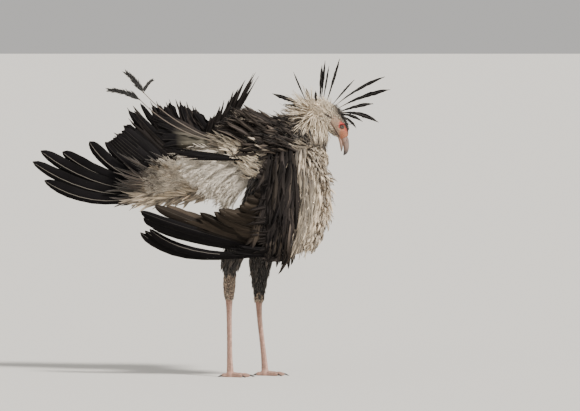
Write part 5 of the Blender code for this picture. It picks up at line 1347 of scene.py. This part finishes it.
def horn_material(name, rough):
    """Horn: painted from pink to grey, with fine growth lines along it and a dull shine."""
    made, nodes, links, shader = plain_material(name, HORN_GREY, rough)
    shader.inputs["Coat Weight"].default_value = 0.25
    shader.inputs["Coat Roughness"].default_value = 0.25
    place = nodes.new("ShaderNodeTexCoord").outputs["Object"]
    stretch = nodes.new("ShaderNodeMapping")
    stretch.inputs["Scale"].default_value = (900.0, 900.0, 120.0)
    links.new(place, stretch.inputs["Vector"])
    lines = noise(made.node_tree, stretch.outputs["Vector"], 1.0, 4.0)
    painted(made, "Tint", lines, 0.55, 1.45, lines, 0.0003)
    return made


HORN = horn_material("grey bill horn", 0.32)
rows, columns = 60, 56
share = np.repeat(np.linspace(0.0, 1.0, rows), columns)
degrees = np.tile(np.arange(columns) * 360.0 / columns, rows)
point, outward, along = form_surface(UPPER_BILL, share, degrees)
from_nostril = point - NOSTRIL * np.array((1.0, 0.0, 1.0)) - np.stack((0 * share, point[:, 1], 0 * share),
                                                                      axis=1)
beside = np.abs(np.cos(np.radians(degrees)))
slit = bump_of(from_nostril[:, 0], 0.0016) * bump_of(from_nostril[:, 2], 0.0034) * (beside > 0.5)
cere = np.clip((0.30 - share) / 0.04, 0.0, 1.0)
culmen = bump_of((degrees - 90.0), 26.0)
edge = np.clip(-np.sin(np.radians(degrees)), 0.0, 1.0) * beside
out = 0.0006 * cere - 0.0019 * slit + 0.0007 * culmen + 0.0007 * edge * (share < 0.8)
upper_bill = grid_mesh("bill_upper", point + outward * out[:, None], rows, columns)
bill_colour = blend(HORN_GREY, HORN_DARK, np.clip(share * 1.5 - 0.55, 0, 1) + 0.6 * culmen * (share > 0.25))
bill_colour = blend(bill_colour, HORN_PINK,
                    (0.75 * cere + 0.60 * bump_of(share - 0.45, 0.28) * (1 - cere)) * (1 - culmen))
# The slit nostril is painted dark, as painted shade in its hollow.
tint(upper_bill, "Tint", blend(bill_colour, HORN_DARK, slit))
dressed(upper_bill, HORN)
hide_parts("beak_upper")
lower_bill = grid_mesh("bill_lower", form_surface(LOWER_BILL, share, degrees)[0], rows, columns)
tint(lower_bill, "Tint", blend(HORN_PINK, HORN_GREY, share * 1.6 - 0.7))
dressed(lower_bill, HORN)
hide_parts("beak_lower")

# Legs: long bare shanks and short toes in pinkish skin, armoured with horny scutes down
# the front and along the toes' tops, and with small rounded scales everywhere else. The
# claws are black horn, and short mottled feathers cover the knees.
SHANKS = {
    "right": ((0.082, -0.060, 0.406, 0.0130, 0.0150), (0.079, -0.060, 0.372, 0.0140, 0.0180),
              (0.078, -0.060, 0.340, 0.0130, 0.0180), (0.078, -0.060, 0.300, 0.0100, 0.0130),
              (0.078, -0.060, 0.240, 0.0080, 0.0090), (0.079, -0.060, 0.150, 0.0076, 0.0085),
              (0.080, -0.060, 0.070, 0.0082, 0.0092), (0.082, -0.060, 0.022, 0.0100, 0.0115)),
    "left": ((0.191, 0.021, 0.322, 0.0105, 0.0120), (0.190, 0.020, 0.300, 0.0120, 0.0140),
             (0.190, 0.020, 0.275, 0.0100, 0.0110), (0.193, 0.020, 0.215, 0.0078, 0.0085),
             (0.200, 0.020, 0.150, 0.0074, 0.0082), (0.208, 0.020, 0.080, 0.0080, 0.0090),
             (0.213, 0.020, 0.022, 0.0100, 0.0115)),
}
TOES = (("middle", 0.0, 0.068, 0.0090, 0.024), ("inner", 32.0, 0.052, 0.0085, 0.024),
        ("outer", -34.0, 0.050, 0.0085, 0.020), ("hind", 180.0, 0.026, 0.0080, 0.022))
TOE_PADS = ((0.02, 0.0088, 1.10), (0.30, 0.0078, 1.00), (0.52, 0.0062, 0.86), (0.72, 0.0066, 0.94),
            (0.90, 0.0052, 0.72), (1.00, 0.0042, 0.42))
CLAW_CURVE = ((0.00, 0.0054, 0.0036), (0.28, 0.0064, 0.0033), (0.58, 0.0042, 0.0026),
              (0.82, 0.0012, 0.0017), (1.00, 0.0002, 0.0008))
SCALE = np.array(((0.0, 0.50), (0.25, 0.95), (0.70, 1.0), (1.0, 0.45)))
LEG_PINK = (0.50, 0.30, 0.235)
LEG_BROWN = (0.19, 0.115, 0.085)
TOE_PINK = (0.42, 0.25, 0.19)
CLAW_BASE = (0.060, 0.050, 0.046)
CLAW_TIP = (0.012, 0.011, 0.012)
LEG_VOXEL = 0.0022


def floor_flat(piece):
    """Press the underside flat on the floor."""
    count = len(piece.data.vertices)
    rows = np.empty(count * 3, dtype=np.float32)
    piece.data.vertices.foreach_get("co", rows)
    rows = rows.reshape(-1, 3)
    rows[:, 2] = np.maximum(rows[:, 2], 0.0)
    piece.data.vertices.foreach_set("co", rows.reshape(-1))
    piece.data.update()
    return rows


def scutes(name, form, spans, degrees, height, tile, colour, left=LEFT):
    """Broad plates across a limb, each lapping over the next one below."""
    first, last, count = spans
    columns, rows, lap = 13, 5, 1.12
    turn = np.linspace(degrees[0], degrees[1], columns)
    step = (last - first) / count
    points, faces, shades = [], [], []
    for number in range(count):
        base = len(points) * columns
        tone = np.array(colour) * math.exp(chance.normal(0.0, 0.12))
        for layer in (0, 1):
            for row in range(rows):
                part = row / (rows - 1)
                at = np.clip(first + step * (number + part * lap), 0.0, 1.0)
                point, outward, along = form_surface(form, np.full(columns, at), turn, left)
                edge = np.minimum(1.0, (1 - np.abs(np.linspace(-1, 1, columns))) * 5.0)
                rise = height * (0.25 + 0.75 * math.sin(math.pi * min(0.15 + part * 0.78, 1.0))) * edge
                points.append(point + outward * (rise[:, None] if layer == 0 else -0.0006))
                shades.append(np.tile(tone * (1.0 - 0.45 * part ** 3), (columns, 1)))
        size = rows * columns
        for row in range(rows - 1):
            for column in range(columns - 1):
                a = base + row * columns + column
                faces.append((a, a + 1, a + columns + 1, a + columns))
                faces.append((a + size, a + size + columns, a + size + columns + 1, a + size + 1))
        loop = [row * columns for row in range(rows)]
        loop += [(rows - 1) * columns + column for column in range(1, columns)]
        loop += [row * columns + columns - 1 for row in range(rows - 2, -1, -1)]
        loop += [column for column in range(columns - 2, 0, -1)]
        for a, b in zip(loop, loop[1:] + loop[:1]):
            faces.append((base + a, base + b, base + size + b, base + size + a))
    mesh = bpy.data.meshes.new(name)
    mesh.from_pydata(np.concatenate(points).tolist(), [], faces)
    work = bmesh.new()
    work.from_mesh(mesh)
    bmesh.ops.recalc_face_normals(work, faces=work.faces)
    work.to_mesh(mesh)
    work.free()
    mesh.shade_smooth()
    made = new_object(name, mesh)
    tint(made, "Tint", np.concatenate(shades))
    return made


LEG_SKIN = bare_skin_material("pinkish leg skin", 520.0, 0.0008, 0.6)
SCUTE = horn_material("leg scute", 0.5)
LEG_SCALE = feather_material("leg scale", 20.0, 0.25, 0.15, 0.0, 0.55, 0.0, 0.35)
CLAW_HORN = horn_material("black claw horn", 0.35)
for side_name, leg_x, leg_y, turn, tile, knee_end in (("right", 0.082, -0.060, 1.0, 11, 0.42),
                                                      ("left", 0.213, 0.020, -1.0, 12, 0.26)):
    shank = SHANKS[side_name]
    ankle = ((leg_x - 0.001, leg_y, 0.034, 0.0090, 0.0100), (leg_x - 0.001, leg_y, 0.025, 0.0110, 0.0125),
             (leg_x, leg_y, 0.016, 0.0135, 0.0150), (leg_x + 0.002, leg_y, 0.006, 0.0150, 0.0170),
             (leg_x + 0.003, leg_y, -0.004, 0.0140, 0.0160))
    forms = [(shank, 70, 28, 0.0004), (ankle, 14, 28, 0.0004)]
    toes = []
    for toe_name, heading, length, thick, claw_length in TOES:
        angle = math.radians(heading) * turn
        ahead_way = np.array((math.cos(angle), math.sin(angle), 0.0))
        left = (-ahead_way[1], ahead_way[0], 0.0)
        spine = [(leg_x, leg_y, 0.0) + ahead_way * (0.006 + length * share) for share, height,
                 half in TOE_PADS]
        toe = [(*spot[:2], height, thick * half, thick * half * 0.95)
               for spot, (share, height, half) in zip(spine, TOE_PADS)]
        toes.append((toe_name, toe, left))
        forms.append((toe, 26, 22, 0.0004, left))
        claw_spine = [(leg_x, leg_y, 0.0) + ahead_way * (length + claw_length * share)
                      for share, height, half in CLAW_CURVE]
        claw_form = [(*spot[:2], height, half * 0.8, half)
                     for spot, (share, height, half) in zip(claw_spine, CLAW_CURVE)]
        rows, columns = 22, 18
        share = np.repeat(np.linspace(0.0, 1.0, rows), columns)
        point = form_point(claw_form, share, np.tile(np.arange(columns) * 360.0 / columns, rows), 0.0, left)
        point[:, 2] = np.maximum(point[:, 2], 0.0)
        claw = grid_mesh("claw_" + side_name + "_" + toe_name, point, rows, columns)
        tint(claw, "Tint", blend(CLAW_BASE, CLAW_TIP, share * 1.6))
        dressed(claw, CLAW_HORN)
        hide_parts("claw_" + side_name + "_" + toe_name)
    leg = join_forms("leg_" + side_name, forms, LEG_VOXEL, 3)
    spots = floor_flat(leg)
    # The leg skin turns browner round the knee and over the last 3 cm above the floor.
    knob = bump_of(spots[:, 2] - shank[1][2], 0.05)
    near_floor = np.clip(1.0 - spots[:, 2] / 0.03, 0.0, 1.0)
    tint(leg, "Tint", blend(LEG_PINK, LEG_BROWN, 0.55 * knob + 0.35 * near_floor))
    dressed(leg, LEG_SKIN)
    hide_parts("shank_" + side_name, "foot_" + side_name)
    plates = [scutes("shank_scutes_" + side_name, shank, (0.34, 0.98, 34), (12.0, 168.0), 0.0011, tile,
                     LEG_PINK)]
    for toe_name, toe, left in toes:
        count = 5 if toe_name == "hind" else 11
        plates.append(scutes("toe_scutes_" + side_name + "_" + toe_name, toe, (0.10, 0.97, count),
                             (22.0, 158.0), 0.0009, tile, TOE_PINK, left))
    for plate in plates:
        dressed(plate, SCUTE)
    share, degrees = spread_places(shank, (0.02, 0.99), (172.0, 368.0), 0.0034)
    upper_share, upper_degrees = spread_places(shank, (0.02, 0.34), (0.0, 180.0), 0.0036)
    share = np.concatenate((share, upper_share))
    degrees = np.concatenate((degrees, upper_degrees))
    number = len(share)
    scale_colour = blend(varied(LEG_PINK, number, 0.15), varied(LEG_BROWN, number, 0.2),
                         0.6 * bump_of(share - 0.16, 0.16))
    coat("small_scales_" + side_name, LEG_SCALE, shank, tile, share, degrees, 0.0042, 0.0040, 0.0004, 0.0,
         (scale_colour * 0.75, scale_colour), outline=SCALE, sink=0.0004, stray=0.04,
         heading=1.0, cup=0.22, thick=0.0004, slot="leg_skin")
    share, degrees = spread_places(shank, (0.0, knee_end), (0.0, 360.0), 0.0046)
    number = len(share)
    knee_colour = blend(varied(SOOT, number, 0.4), varied(LEG_BROWN, number, 0.3), chance.random(number))
    coat("knee_feathers_" + side_name, SOFT_FEATHER, shank, tile, share, degrees, 0.0125, 0.0078, 0.0035,
         0.0, (knee_colour * 0.6, knee_colour, varied(TAWNY, number, 0.3)), outline=CONTOUR, sink=0.001,
         stray=0.12, heading=1.0, cup=0.3, thick=0.0005, ragged=0.3, stops=(0.0, 0.62, 1.0),
         twist=chance.normal(0.0, 10.0, number), slot="leg_skin")

# Studio: a plain pale floor, a soft key light from the upper right and soft fill.
REACH = 200
floor_mesh = bpy.data.meshes.new("floor")
floor_mesh.from_pydata([(-REACH, -REACH, 0), (REACH, -REACH, 0), (REACH, REACH, 0), (-REACH, REACH, 0)],
                       [], [(0, 1, 2, 3)])
floor = new_object("floor", floor_mesh)
floor_mesh.materials.append(plain_material("pale floor", (0.78, 0.76, 0.72), 0.9)[0])

world = bpy.data.worlds.new("soft surround")
world.use_nodes = True
world.node_tree.nodes["Background"].inputs["Color"].default_value = (1.0, 0.98, 0.95, 1.0)
world.node_tree.nodes["Background"].inputs["Strength"].default_value = 0.55
bpy.context.scene.world = world
for name, strength, spread, direction in (("key", 4.9, 9.0, (-0.62, 0.55, -0.85)),
                                          ("fill", 0.35, 40.0, (0.6, 0.8, -0.3))):
    light = bpy.data.lights.new(name, "SUN")
    light.energy = strength
    light.angle = math.radians(spread)
    light.color = (1.0, 0.965, 0.91)
    lamp = bpy.data.objects.new(name, light)
    lamp.rotation_euler = Vector(direction).to_track_quat("-Z", "Y").to_euler()
    bpy.context.scene.collection.objects.link(lamp)

# Camera: a long lens, level with the bird's back and looking across its right side.
CAMERA_DISTANCE = 20.0
CAMERA_RISE = math.radians(2.0)
LENS = 327.0
aim = Vector((0.308, 0.0, 0.648))
eye = aim + Vector((0.0, -math.cos(CAMERA_RISE), math.sin(CAMERA_RISE))) * CAMERA_DISTANCE
camera = bpy.data.cameras.new("camera")
camera.lens = LENS
camera.sensor_width = 36.0
camera.clip_end = 600.0
viewer = bpy.data.objects.new("camera", camera)
viewer.location = eye
viewer.rotation_euler = (aim - eye).to_track_quat("-Z", "Y").to_euler()
bpy.context.scene.collection.objects.link(viewer)
bpy.context.scene.camera = viewer
